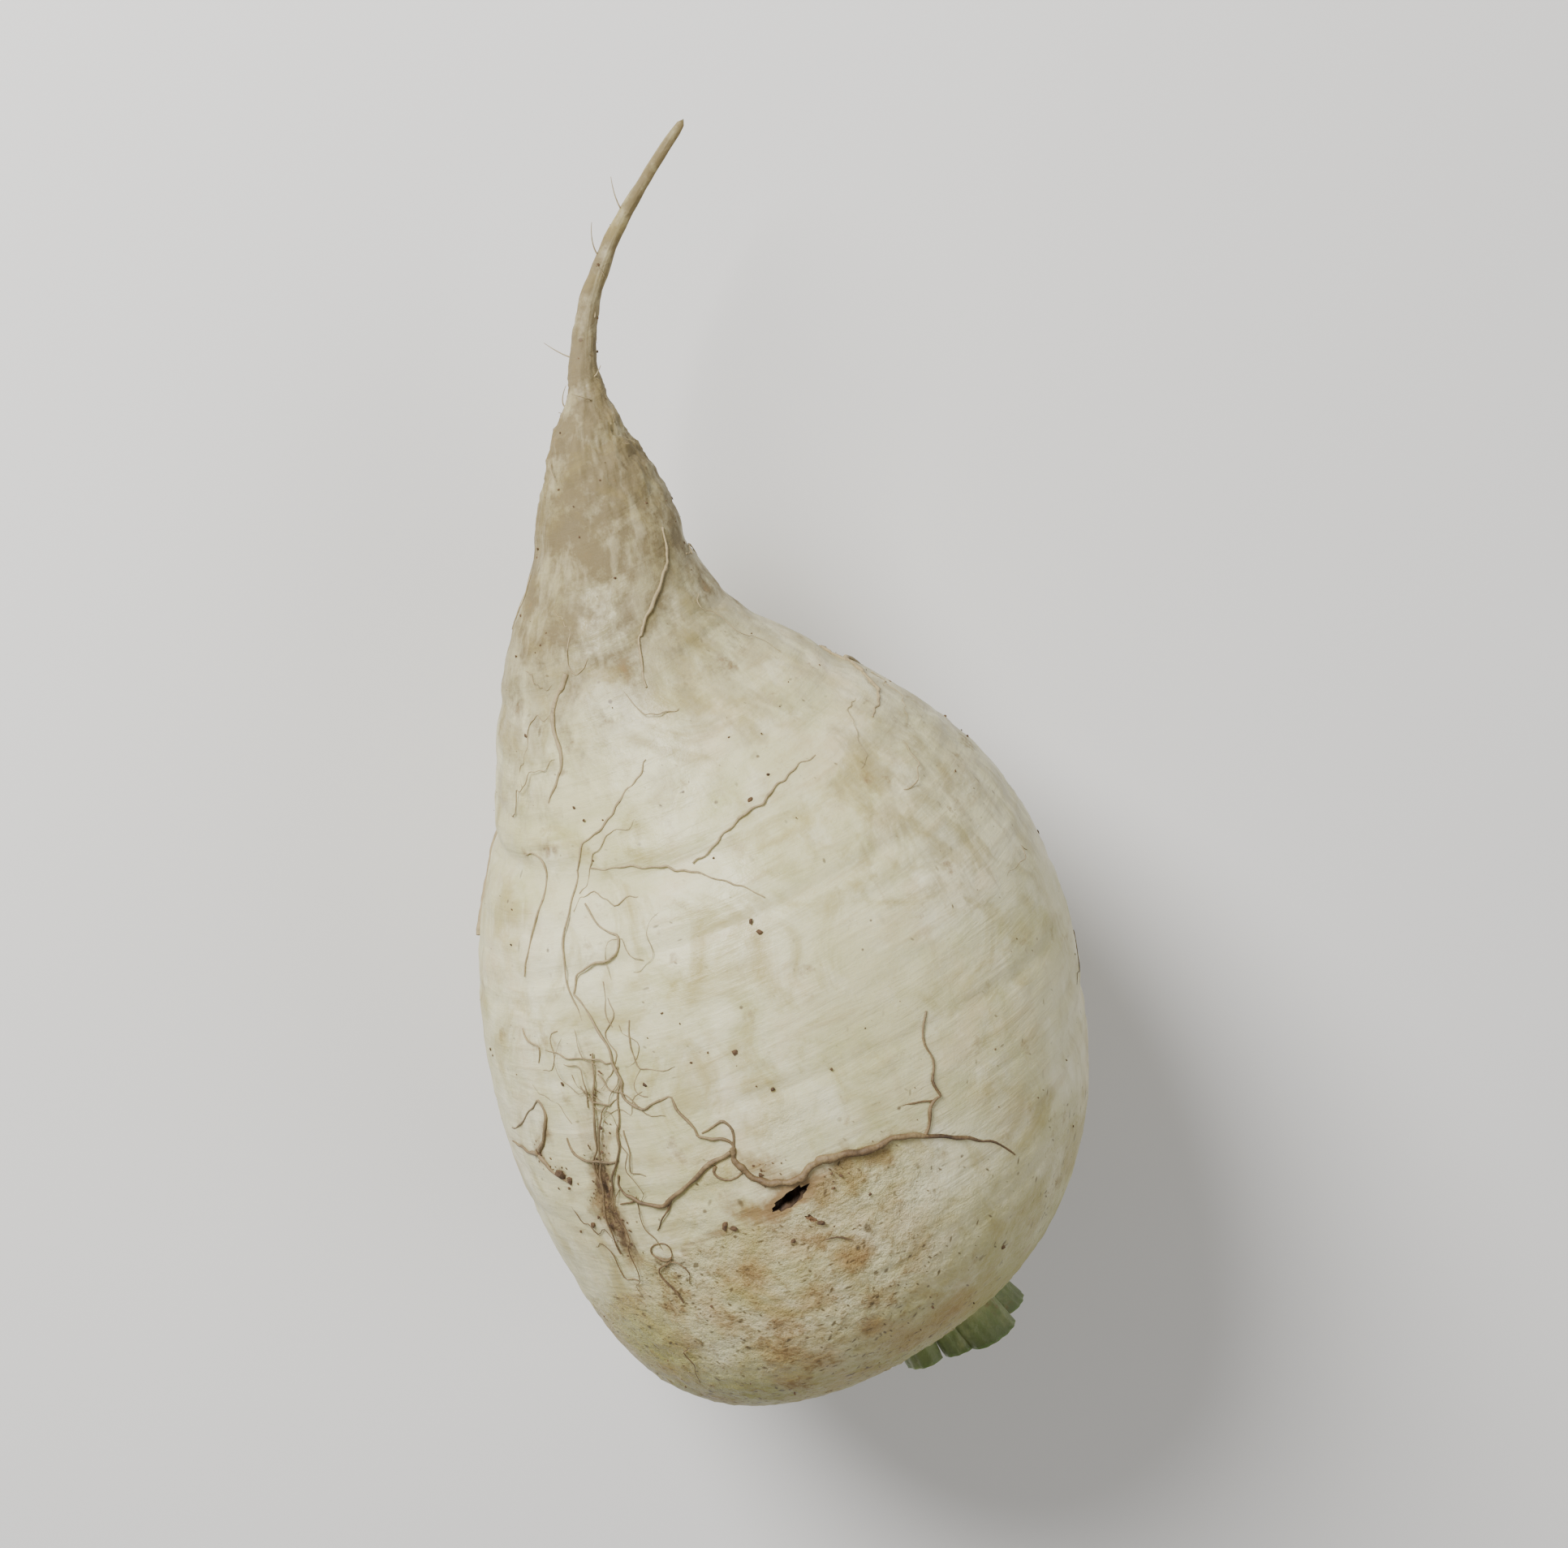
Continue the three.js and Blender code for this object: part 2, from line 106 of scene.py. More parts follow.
LENTICELS = [
    # short corky scars across the root: along, angle, span
    (-17, 318, 14),
    (4, 322, 12),
    (24, 311, 13),
    (-33, 142, 15),
    (-2, 212, 11),
    (31, 158, 14),
    (-27, 236, 12),
]
LENTICEL_DEPTH = 0.28
LENTICEL_HALF_WIDTH = 0.6
LENTICEL_FADE = 5
UNEVEN_SKIN = 0.13
GRAINY_SKIN = 0.04
TAIL_KNOBS = 0.09  # share of the tail's radius
CROWN_RIDGE_HEIGHT = 0.2
CROWN_RIDGE_GAP = 2.1

# Marks on the top are placed along and across the root, as seen from above and the tail end
SEEN_ELEVATION = math.radians(75)
VIEW_PASSES = 12
FURROW_SEEN = [(-6, -20), (2, -23), (8.5, -26.3), (14.5, -27.7), (20.5, -27.4)]
FURROW_HALF_WIDTH = 1.4
FURROW_DEPTHS = (0.3, 0.9, 0.7)
HOLE_SEEN = [(21, -9), (20, -4.5)]
SMALL_HOLE_SEEN = [(23, -6.2), (24.5, -5)]
HOLE_RAGGED = 0.42
HOLE_TAPER = 0.25

# The outer skin is torn along an edge, and rubbed off from there towards the crown
WORN_EDGE_SEEN = np.array([
    (24.5, -30), (21.9, -25.3), (20.7, -16.2), (22.5, -9.5), (19.5, -3), (18, 2), (19, 8),
])
WORN_DEPTH = 0.2
WORN_GRAIN = 0.12
WORN_HEIGHTS = (12, 34)  # worn more and more between these, up the side
WORN_ACROSS = (2, 18)  # and less and less between these, across the top
TORN_DEPTH = 0.1
TORN_HALF_WIDTH = 0.6
TORN_MIDDLE = -17
TORN_REACH = (7, 10)

# The mesh has this many slices round the root and rings along it
AROUND = 288
ALONG = 300


def smoothstep(value, low, high):
    share = np.clip((value - low) / (high - low), 0, 1)
    return share * share * (3 - 2 * share)


def through(stations, t):
    """A smooth curve through evenly numbered stations, for t from 0 to 1."""
    stations = np.asarray(stations, float)
    last = len(stations) - 1
    at = np.clip(np.atleast_1d(t), 0, 1) * last
    k = np.minimum(at.astype(int), last - 1)
    w = (at - k)[:, None]
    ends = (2 * stations[0] - stations[1], 2 * stations[-1] - stations[-2])
    padded = np.vstack([ends[0], stations, ends[1]])
    p0, p1, p2, p3 = (padded[k + i] for i in range(4))
    stretches = ((p0, p1), (p1, p2), (p2, p3))
    d0, d1, d2 = (np.linalg.norm(b - a, axis=1)[:, None] ** 0.5 for a, b in stretches)
    d1 = np.where(d1 < 1e-4, 1.0, d1)
    d0 = np.where(d0 < 1e-4, d1, d0)
    d2 = np.where(d2 < 1e-4, d1, d2)
    m1 = d1 * ((p1 - p0) / d0 - (p2 - p0) / (d0 + d1) + (p2 - p1) / d1)
    m2 = d1 * ((p2 - p1) / d1 - (p3 - p1) / (d1 + d2) + (p3 - p2) / d2)
    bend = -3 * p1 + 3 * p2 - 2 * m1 - m2
    twist = 2 * p1 - 2 * p2 + m1 + m2
    return p1 + m1 * w + bend * w**2 + twist * w**3


def unit(vectors):
    return vectors / np.maximum(np.linalg.norm(vectors, axis=-1, keepdims=True), 1e-12)


def spine(t):
    outline = through(ROOT_OUTLINE[:, :2], t)
    middle = through(ROOT_OUTLINE[:, 2:], t)
    return np.column_stack([outline[:, 0], middle[:, 0], AXIS_HEIGHT + middle[:, 1]])


def crease_depth(x, degrees, creases, fade):
    depth = np.zeros_like(x)
    for along, lean, deep, half, start, end in creases:
        aside = (degrees - (start + end) / 2 + 180) % 360 - 180
        reach = (end - start) / 2
        strength = 1 - smoothstep(np.abs(aside), reach - min(fade, reach), reach)
        depth += deep * strength * np.exp(-(((x - along - lean * aside) / half) ** 2))
    return depth


def crown_skew(x, across):
    return CROWN_SKEW * smoothstep(x, *CROWN_SKEW_ALONG) * across


def skin(t, degrees, lift=0.0):
    """Points of the root's skin at a station and an angle, in millimetres."""
    t = np.atleast_1d(np.asarray(t, float))
    degrees = np.atleast_1d(np.asarray(degrees, float))
    x, radius = through(ROOT_OUTLINE[:, :2], t).T
    neck = smoothstep(x, *NECK_ALONG)[:, None]
    ahead = unit(spine(np.minimum(1, t + TANGENT_STEP)) - spine(np.maximum(0, t - TANGENT_STEP)))
    forward = unit(np.array([1.0, 0, 0]) * (1 - neck) + ahead * neck)
    sideways = unit(np.cross([0.0, 0, 1], forward))
    up = np.cross(forward, sideways)
    relief = -crease_depth(x, degrees, CREASES, CREASE_FADE)
    for share, times, turn, start in LOBES:
        relief += share * radius * np.sin(np.radians(times * degrees + turn * x + start))
    reach = radius + smoothstep(radius, *RELIEF_FADES_IN) * relief + lift
    across = reach * np.cos(np.radians(degrees))
    rise = reach * np.sin(np.radians(degrees)) * HEIGHT_SHARE
    points = spine(t) + sideways * across[:, None] + up * rise[:, None]
    points[:, 0] -= crown_skew(x, across)
    return points


# Closely spaced stations, for finding the one at a given length
dense_t = np.linspace(0, 1, 4001)
dense_outline = through(ROOT_OUTLINE[:, :2], dense_t)
foremost = int(np.argmax(dense_outline[:, 0]))
dense_steps = np.linalg.norm(np.diff(dense_outline, axis=0), axis=1)
dense_length = np.concatenate([[0], np.cumsum(dense_steps)])


def station_at(x):
    return np.interp(x, dense_outline[:foremost, 0], dense_t[:foremost])


def under_view(seen):
    """Station and angle of the skin under points seen from above and a little from the tail end."""
    along, across = np.asarray(seen, float).T
    x = along.copy()
    for _ in range(VIEW_PASSES):
        t = station_at(x)
        radius = through(ROOT_OUTLINE[:, :2], t)[:, 1]
        aside = across - through(ROOT_OUTLINE[:, 2:], t)[:, 0]
        degrees = np.degrees(np.arccos(np.clip(aside / radius, -1, 1)))
        height = skin(t, degrees)[:, 2] - AXIS_HEIGHT
        skew = crown_skew(x, aside)
        x = (along - height * math.cos(SEEN_ELEVATION)) / math.sin(SEEN_ELEVATION) + skew
    return t, degrees


def seen_points(seen):
    return skin(*under_view(seen))


def near(points, places, size, strengths=None):
    """1, or its strength, on each of the places, falling off over the size."""
    if strengths is None:
        strengths = np.ones(len(places))
    nearest = np.zeros(len(points))
    for place, strength in zip(places, strengths):
        gap = np.sum((points - place) ** 2, axis=1)
        nearest = np.maximum(nearest, strength * np.exp(-gap / size**2))
    return nearest


def between(places, steps):
    """Points along the straight stretches between places."""
    shares = np.linspace(0, 1, steps, endpoint=False)[:, None]
    stretches = [a + (b - a) * shares for a, b in zip(places[:-1], places[1:])]
    return np.vstack(stretches + [places[-1:]])


def noise_at(points, scale, shift=(0, 0, 0)):
    """An uneven value, between about -1 and 1, at each of the points."""
    return np.array([rough.noise(Vector(p) * scale + Vector(shift)) for p in points])


def worn_skin(points):
    """How far the outer skin is rubbed off at each point, and how near is the torn edge."""
    along = points[:, 0] * math.sin(SEEN_ELEVATION)
    along += (points[:, 2] - AXIS_HEIGHT) * math.cos(SEEN_ELEVATION)
    edge = np.interp(points[:, 1], WORN_EDGE_SEEN[:, 1], WORN_EDGE_SEEN[:, 0])
    past_edge = along - edge + noise_at(points, 0.6)
    on_top = smoothstep(points[:, 2], *WORN_HEIGHTS) * (1 - smoothstep(points[:, 1], *WORN_ACROSS))
    aside = np.abs(points[:, 1] - TORN_MIDDLE)
    torn = np.exp(-((past_edge / TORN_HALF_WIDTH) ** 2)) * (1 - smoothstep(aside, *TORN_REACH))
    return smoothstep(past_edge, -0.4, 0.6) * on_top, torn * on_top


def select_only(piece):
    bpy.ops.object.select_all(action="DESELECT")
    piece.select_set(True)
    bpy.context.view_layer.objects.active = piece


def started(add_primitive, **settings):
    """A new primitive, with nothing else selected."""
    bpy.ops.object.select_all(action="DESELECT")
    add_primitive(**settings)
    return bpy.context.object


def coordinates(piece):
    flat = np.empty(len(piece.data.vertices) * 3)
    piece.data.vertices.foreach_get("co", flat)
    return flat.reshape(-1, 3)


def place_vertices(piece, points):
    piece.data.vertices.foreach_set("co", np.ascontiguousarray(points).ravel())
    piece.data.update()


# The sphere's rings and slices become stations and angles of the skin
root = started(bpy.ops.mesh.primitive_uv_sphere_add, segments=AROUND, ring_count=ALONG, radius=1)
root.name = "radish_root"
ball = coordinates(root)
share = 1 - np.arccos(np.clip(ball[:, 2], -1, 1)) / math.pi
root_t = np.interp(share * dense_length[-1], dense_length, dense_t)
root_degrees = np.degrees(np.arctan2(ball[:, 1], ball[:, 0])) % 360
place_vertices(root, skin(root_t, root_degrees))

# Fine relief goes in and out along the skin's own normal
root_x, root_radius = through(ROOT_OUTLINE[:, :2], root_t).T
draw = random.Random(4)
fine = []
for _ in range(FINE_CREASES):
    start = draw.uniform(0, 360)
    along = draw.triangular(-78, 44, -45)
    deep = draw.uniform(0.05, 0.2)
    lean, half = draw.uniform(-0.05, 0.05), draw.uniform(0.5, 0.9)
    fine.append((along, lean, deep, half, start, start + draw.uniform(25, 130)))
relief = -crease_depth(root_x, root_degrees, fine, FINE_CREASE_FADE)
short = [
    (along, 0, LENTICEL_DEPTH, LENTICEL_HALF_WIDTH, angle - span / 2, angle + span / 2)
    for along, angle, span in LENTICELS
]
relief -= crease_depth(root_x, root_degrees, short, LENTICEL_FADE)
placed = coordinates(root)
furrow = between(seen_points(FURROW_SEEN), 12)
furrow_along = np.linspace(0, 1, len(furrow))
furrow_depth = np.interp(furrow_along, [0, 0.5, 1], FURROW_DEPTHS)
wobble = noise_at(placed, 0.45)
grain = noise_at(placed, 1.7)
relief += UNEVEN_SKIN * wobble + GRAINY_SKIN * grain
relief -= near(placed, furrow, FURROW_HALF_WIDTH, furrow_depth) * (0.8 + 0.7 * grain)
worn, torn = worn_skin(placed)
relief -= (WORN_DEPTH - WORN_GRAIN * grain) * worn - TORN_DEPTH * torn
crown_middle = skin(1, 0)[0]
crown_gap = np.linalg.norm((placed - crown_middle)[:, 1:], axis=1)
at_crown = smoothstep(placed[:, 0], 36, 42) * (1 - smoothstep(crown_gap, 16, 24))
ridges = np.sin(2 * math.pi * (crown_gap + 0.8 * wobble) / CROWN_RIDGE_GAP)
relief += CROWN_RIDGE_HEIGHT * at_crown * ridges
normals = np.empty(len(placed) * 3)
root.data.vertex_normals.foreach_get("vector", normals)
relief *= smoothstep(root_radius, 0.8, 6)
knobs = TAIL_KNOBS * root_radius * (1 - smoothstep(root_radius, 2, 10))
relief += knobs * (1.6 * wobble + grain)
placed = placed + normals.reshape(-1, 3) * relief[:, None]
placed[:, 2] = np.maximum(placed[:, 2], 0)
place_vertices(root, placed * MM)


# The slug hole and the small one beside it are cut by a rough pebble shape
def cut_hole(seen, width, deep, seed, flesh):
    ends = seen_points(seen)
    middle = (ends[0] + ends[1]) / 2
    length = np.linalg.norm(ends[1] - ends[0])
    t, degrees = under_view([tuple(np.mean(seen, axis=0))])
    out = unit(skin(t, degrees, 3.0)[0] - skin(t, degrees)[0])
    forward = unit(ends[1] - ends[0])
    side = unit(np.cross(out, forward))
    cutter = started(bpy.ops.mesh.primitive_ico_sphere_add, subdivisions=4, radius=1)
    pebble = coordinates(cutter)
    ragged = 1 + HOLE_RAGGED * noise_at(pebble, 2.3, (seed, 0, 0))
    pebble = pebble * ragged[:, None]
    shape = (
        middle
        + np.outer(pebble[:, 0] * (1 + HOLE_TAPER * pebble[:, 1]), forward) * length / 2
        + np.outer(pebble[:, 1], side) * width / 2
        + np.outer(pebble[:, 2], out) * deep
    )
    place_vertices(cutter, shape * MM)
    cutter.data.materials.append(flesh)
    select_only(root)
    boolean = root.modifiers.new("hole", "BOOLEAN")
    boolean.operation = "DIFFERENCE"
    boolean.solver = "EXACT"
    boolean.material_mode = "TRANSFER"
    boolean.object = cutter
    bpy.ops.object.modifier_apply(modifier="hole")
    bpy.data.objects.remove(cutter)


def linear(red, green, blue):
    """A shader colour from the 0 to 255 values that the eye reads off a screen."""
    parts = [v / 255 for v in (red, green, blue)]
    return tuple(p / 12.92 if p <= 0.04045 else ((p + 0.055) / 1.055) ** 2.4 for p in parts) + (1.0,)


class Recipe:
    """A material's nodes, added one after another."""

    def __init__(self, name, roughness=0.5):
        self.material = bpy.data.materials.new(name)
        self.material.use_nodes = True
        self.tree = self.material.node_tree
        self.shader = self.tree.nodes["Principled BSDF"]
        self.shader.inputs["Roughness"].default_value = roughness
        self.place = self.tree.nodes.new("ShaderNodeTexCoord").outputs["Object"]

    def add(self, kind, inputs=(), **settings):
        node = self.tree.nodes.new(kind)
        for name, value in settings.items():
            setattr(node, name, value)
        for name, value in dict(inputs).items():
            if isinstance(value, bpy.types.NodeSocket):
                self.tree.links.new(value, node.inputs[name])
            else:
                node.inputs[name].default_value = value
        return node

    def stretched(self, x, y, z, place=None, turned=(0, 0, 0)):
        """A place in which a pattern comes out that many times as long along each axis."""
        inputs = {"Vector": place or self.place, "Scale": (x, y, z), "Rotation": turned}
        return self.add("ShaderNodeMapping", inputs, vector_type="TEXTURE").outputs["Vector"]

    def noise(self, scale, detail, roughness=0.55, place=None, distortion=0.0):
        inputs = {"Vector": place or self.place, "Scale": scale, "Detail": detail}
        inputs.update({"Roughness": roughness, "Distortion": distortion})
        return self.add("ShaderNodeTexNoise", inputs).outputs["Fac"]

    def spots(self, scale, size, share, place=None):
        """Small spots of mixed sizes, one in each picked cell; the share may be a painted value."""
        cells = self.add("ShaderNodeTexVoronoi", {"Vector": place or self.place, "Scale": scale})
        chance = self.add("ShaderNodeSeparateColor", {"Color": cells.outputs["Color"]}).outputs
        picked = self.scaled(self.sum("SUBTRACT", share, chance["Red"]), -0.04, 0.04)
        grown = self.scaled(chance["Green"], 0, 1, 0.35, 1.2)
        gap = self.sum("DIVIDE", cells.outputs["Distance"], grown)
        return self.sum("MULTIPLY", self.scaled(gap, size * 0.5, size, 1, 0), picked)

    def painted(self, name):
        return self.add("ShaderNodeAttribute", attribute_name=name).outputs["Fac"]

    def sum(self, operation, first, second):
        return self.add("ShaderNodeMath", {0: first, 1: second}, operation=operation).outputs[0]

    def scaled(self, value, low, high, to_low=0.0, to_high=1.0):
        inputs = {"Value": value, "From Min": low, "From Max": high}
        inputs.update({"To Min": to_low, "To Max": to_high})
        return self.add("ShaderNodeMapRange", inputs, clamp=True).outputs[0]

    def ramp(self, value, stops):
        node = self.add("ShaderNodeValToRGB", {"Fac": value})
        elements = node.color_ramp.elements
        while len(elements) < len(stops):
            elements.new(0.5)
        for element, (place, colour) in zip(elements, stops):
            element.position = place
            element.color = colour
        return node.outputs["Color"]

    def mix(self, share, under, over):
        node = self.add("ShaderNodeMix", data_type="RGBA")
        sockets = (node.inputs[0], node.inputs[6], node.inputs[7])  # the share and the two colours
        for socket, value in zip(sockets, (share, under, over)):
            if isinstance(value, bpy.types.NodeSocket):
                self.tree.links.new(value, socket)
            else:
                socket.default_value = value
        return node.outputs[2]

    def give(self, name, value):
        if isinstance(value, bpy.types.NodeSocket):
            self.tree.links.new(value, self.shader.inputs[name])
        else:
            self.shader.inputs[name].default_value = value

    def let_light_in(self, share, red, green, blue):
        """Flesh that light enters; each colour comes out again about so many metres away."""
        self.give("Subsurface Weight", share)
        self.give("Subsurface Radius", (red, green, blue))
        self.give("Subsurface Scale", 1.0)

    def bump(self, height, distance, strength=1.0):
        inputs = {"Height": height, "Distance": distance, "Strength": strength}
        self.give("Normal", self.add("ShaderNodeBump", inputs).outputs["Normal"])


def broken(look, paint, grain, spread):
    """A painted mark with its edge broken up by a noise."""
    value = look.sum("ADD", paint, look.scaled(grain, 0.25, 0.75, -0.5, 0.5))
    return look.scaled(value, 0.5 - spread / 2, 0.5 + spread / 2)


SKIN_COLOURS = {
    "cloud, dark": (180, 173, 124),
    "cloud, cream": (198, 192, 149),
    "cloud, ivory": (215, 210, 176),
    "greenish": (166, 163, 104),
    "warm": (190, 162, 114),
    "pale": (228, 224, 198),
    "ring": (164, 144, 98),
    "streak": (168, 150, 106),
    "crown green and rim shade": (139, 142, 62),
    "ochre": (156, 124, 66),
    "thin soil and shade": (132, 120, 84),
    "thick soil and shade": (98, 82, 54),
    "rubbed bare": (190, 182, 146),
    "stain": (130, 96, 56),
    "tan": (162, 146, 88),
    "mottled": (142, 124, 80),
    "rust": (158, 120, 74),
    "dark rust": (120, 92, 56),
    "speck": (88, 72, 46),
    "dot": (82, 58, 38),
    "cork": (128, 102, 66),
    "dark cork": (74, 54, 36),
}


def skin_colour(name):
    return linear(*SKIN_COLOURS[name])


def stained(look, colour, share, strength, name):
    return look.mix(look.sum("MULTIPLY", share, strength), colour, skin_colour(name))


def make_skin_material():
    look = Recipe("radish_skin")
    grown = look.add("ShaderNodeAttribute", attribute_name="straightened").outputs["Vector"]
    patchy = look.noise(210, 5, 0.68)
    coarse = look.noise(90, 6, 0.62, distortion=1.2)
    specked = look.noise(640, 4, 0.72)

    # The flesh shows through the skin in clouds of ivory, cream and a little green
    colour = look.ramp(look.noise(34, 4, 0.6), [
        (0.30, skin_colour("cloud, dark")),
        (0.47, skin_colour("cloud, cream")),
        (0.66, skin_colour("cloud, ivory")),
    ])
    greenish = look.scaled(look.noise(110, 4, 0.6, distortion=0.6), 0.5, 0.74)
    colour = stained(look, colour, greenish, 0.6, "greenish")
    warm = look.scaled(look.noise(72, 5, 0.66), 0.52, 0.76)
    colour = stained(look, colour, warm, 0.5, "warm")
    pale = look.scaled(look.noise(150, 4, 0.6), 0.54, 0.74)
    colour = stained(look, colour, pale, 0.5, "pale")
    rings = look.noise(620, 4, 0.62, look.stretched(1, 7, 7, grown), 0.35)
    colour = stained(look, colour, look.scaled(rings, 0.55, 0.76), 0.5, "ring")
    lengthwise = look.noise(420, 4, 0.62, look.stretched(10, 1, 1, grown), 0.3)
    colour = stained(look, colour, look.scaled(lengthwise, 0.56, 0.74), 0.3, "streak")

    # Green and ochre where the light reached it; along the lower rim near the crown the green is
    # partly painted shade
    tint_and_rim_shade = broken(look, look.painted("green_tint_and_rim_shade"), coarse, 1.1)
    colour = stained(look, colour, tint_and_rim_shade, 0.9, "crown green and rim shade")
    ochre = broken(look, look.painted("ochre"), coarse, 0.9)
    colour = stained(look, colour, ochre, 0.85, "ochre")

    # A film of soil, thin and streaky, and darker where it is thick; on the right flank it is partly
    # painted shade, and it darkens the skin towards the floor
    film_and_shade = look.painted("soil_film_and_shade")
    streaks = look.sum("MULTIPLY", look.sum("ADD", coarse, lengthwise), 0.5)
    thin_film_and_shade = broken(look, film_and_shade, streaks, 0.55)
    colour = stained(look, colour, thin_film_and_shade, 0.78, "thin soil and shade")
    thick_film_and_shade = broken(look, look.sum("SUBTRACT", film_and_shade, 0.3), patchy, 0.32)
    colour = stained(look, colour, thick_film_and_shade, 0.7, "thick soil and shade")
    bare = look.sum("MULTIPLY", look.scaled(lengthwise, 0.52, 0.64), thin_film_and_shade)
    colour = stained(look, colour, bare, 0.3, "rubbed bare")

    # Brown stains, rust and fine specks
    stain = broken(look, look.painted("stain"), patchy, 0.5)
    colour = stained(look, colour, stain, 0.8, "stain")
    speckled = look.painted("speckled")
    tan = broken(look, speckled, coarse, 0.9)
    colour = stained(look, colour, tan, 0.68, "tan")
    mottled = look.sum("MULTIPLY", look.scaled(specked, 0.48, 0.66), look.scaled(speckled, 0.2, 0.5))
    colour = stained(look, colour, mottled, 0.45, "mottled")
    rust = broken(look, look.sum("SUBTRACT", speckled, 0.16), look.noise(130, 5, 0.66), 0.45)
    colour = stained(look, colour, rust, 0.42, "rust")
    rusty = broken(look, look.sum("SUBTRACT", speckled, 0.3), specked, 0.3)
    colour = stained(look, colour, rusty, 0.55, "dark rust")
    crowded = look.scaled(look.noise(105, 2, 0.6), 0.4, 0.62, 0.2, 1)
    picked = look.sum("MULTIPLY", look.scaled(speckled, 0.15, 0.6, 0.04, 1), crowded)
    specks = look.spots(1350, 0.26, picked, look.stretched(1, 3.2, 1.8))
    for fineness, turned in (1550, (0.4, 0.9, 1.1)), (1800, (1.2, 0.3, 2.2)), (980, (2.1, 1.4, 0.5)):
        more = look.spots(fineness, 0.26, picked, look.stretched(1, 3.6, 1.9, turned=turned))
        specks = look.sum("MAXIMUM", specks, more)
    colour = stained(look, colour, specks, 0.8, "speck")
    dots = look.spots(430, 0.13, look.scaled(speckled, 0, 1, 0.14, 0.5))
    colour = stained(look, colour, dots, 0.7, "dot")

    # Scars: corky along the rims, dark in the middle
    scar = look.painted("scar")
    cork = broken(look, scar, patchy, 0.55)
    colour = stained(look, colour, cork, 0.78, "cork")
    dark = broken(look, look.sum("SUBTRACT", scar, 0.34), specked, 0.4)
    colour = stained(look, colour, dark, 0.8, "dark cork")
    look.give("Base Color", colour)

    dull = look.sum("MAXIMUM", look.sum("MAXIMUM", thick_film_and_shade, cork), rusty)
    gloss = look.scaled(look.noise(170, 2), 0.3, 0.7, 0.33, 0.5)
    look.give("Roughness", look.sum("ADD", gloss, look.sum("MULTIPLY", dull, 0.34)))
    look.give("Specular IOR Level", 0.3)
    look.let_light_in(0.2, 0.004, 0.0034, 0.002)
    leathery = look.sum("MULTIPLY", specked, look.scaled(speckled, 0.15, 0.5, 0.4, 2.4))
    streaky = look.sum("MULTIPLY", lengthwise, look.scaled(film_and_shade, 0, 1, 0, 0.7))
    height = look.sum("ADD", look.sum("ADD", look.sum("MULTIPLY", rings, 0.8), leathery), streaky)
    look.bump(height, 0.0005, 0.6)
    return look.material


def make_crumbly_material(name, dark, light, fineness=900, relief=0.0003, roughness=0.6):
    look = Recipe(name, roughness)
    grain = look.noise(fineness, 6, 0.7)
    look.give("Base Color", look.ramp(grain, [(0.3, linear(*dark)), (0.7, linear(*light))]))
    look.bump(grain, relief)
    return look.material


root.data.materials.append(make_skin_material())
bored = make_crumbly_material("hole_flesh", (30, 22, 16), (96, 72, 48))
chipped = make_crumbly_material("chip_flesh", (62, 42, 26), (124, 92, 56))
cut_hole(HOLE_SEEN, width=1.7, deep=2.4, seed=3, flesh=bored)
cut_hole(SMALL_HOLE_SEEN, width=0.8, deep=0.45, seed=7, flesh=chipped)

# Where the skin is stained, tinted or scarred, and where shade is painted on it
STAINED_SEEN = [
    (19.4, 0.3), (20.1, -2.6), (21.3, 0.8), (18.5, -6), (22, -3), (20, 4), (16, -8), (20, -12),
]
BRUISED_SEEN = [(38.6, -15.6), (39.6, -13.4), (40, -4.3), (32.8, -25.7), (30, -3)]
SPECKLED_SEEN = [(14, -14), (18, -18), (12, -4)]
CORKY_SEEN = [(2.5, -30.8), (5, -33), (8, -31.2)]
# Points along the lower rim near the crown: the green tint there is partly painted shade of the rim
GREEN_AND_SHADED_RIM_SEEN = [(34, -30), (40, -27), (44, -20), (46, -12), (46, -4)]
OCHRE_SEEN = [(43, -2), (42.5, 4)]
RUSTY_SEEN = [
    (38, -15), (41, -12), (36.5, -17.5), (36.3, -2.1), (39.5, -4.5), (27.5, -14.8), (30, -3),
    (28.2, -25), (25, -24.4), (33, -9), (32, -20), (26, -6), (43, -16), (35, -14),
]
placed = coordinates(root) / MM
worn, torn = worn_skin(placed)
hole_places = between(seen_points(HOLE_SEEN), 6)
corky_places = seen_points(CORKY_SEEN)
furrow_stain = np.interp(furrow_along, [0, 0.4, 0.55, 0.9, 1], [0.2, 0.6, 1.1, 1.1, 0.8])
crown_gap = np.linalg.norm(placed - crown_middle, axis=1)
crown_end = smoothstep(placed[:, 0], 12, 26)
scars = np.vstack([
    skin(station_at([along] * 5), np.linspace(angle - span / 2, angle + span / 2, 5))
    for along, angle, span in LENTICELS
])
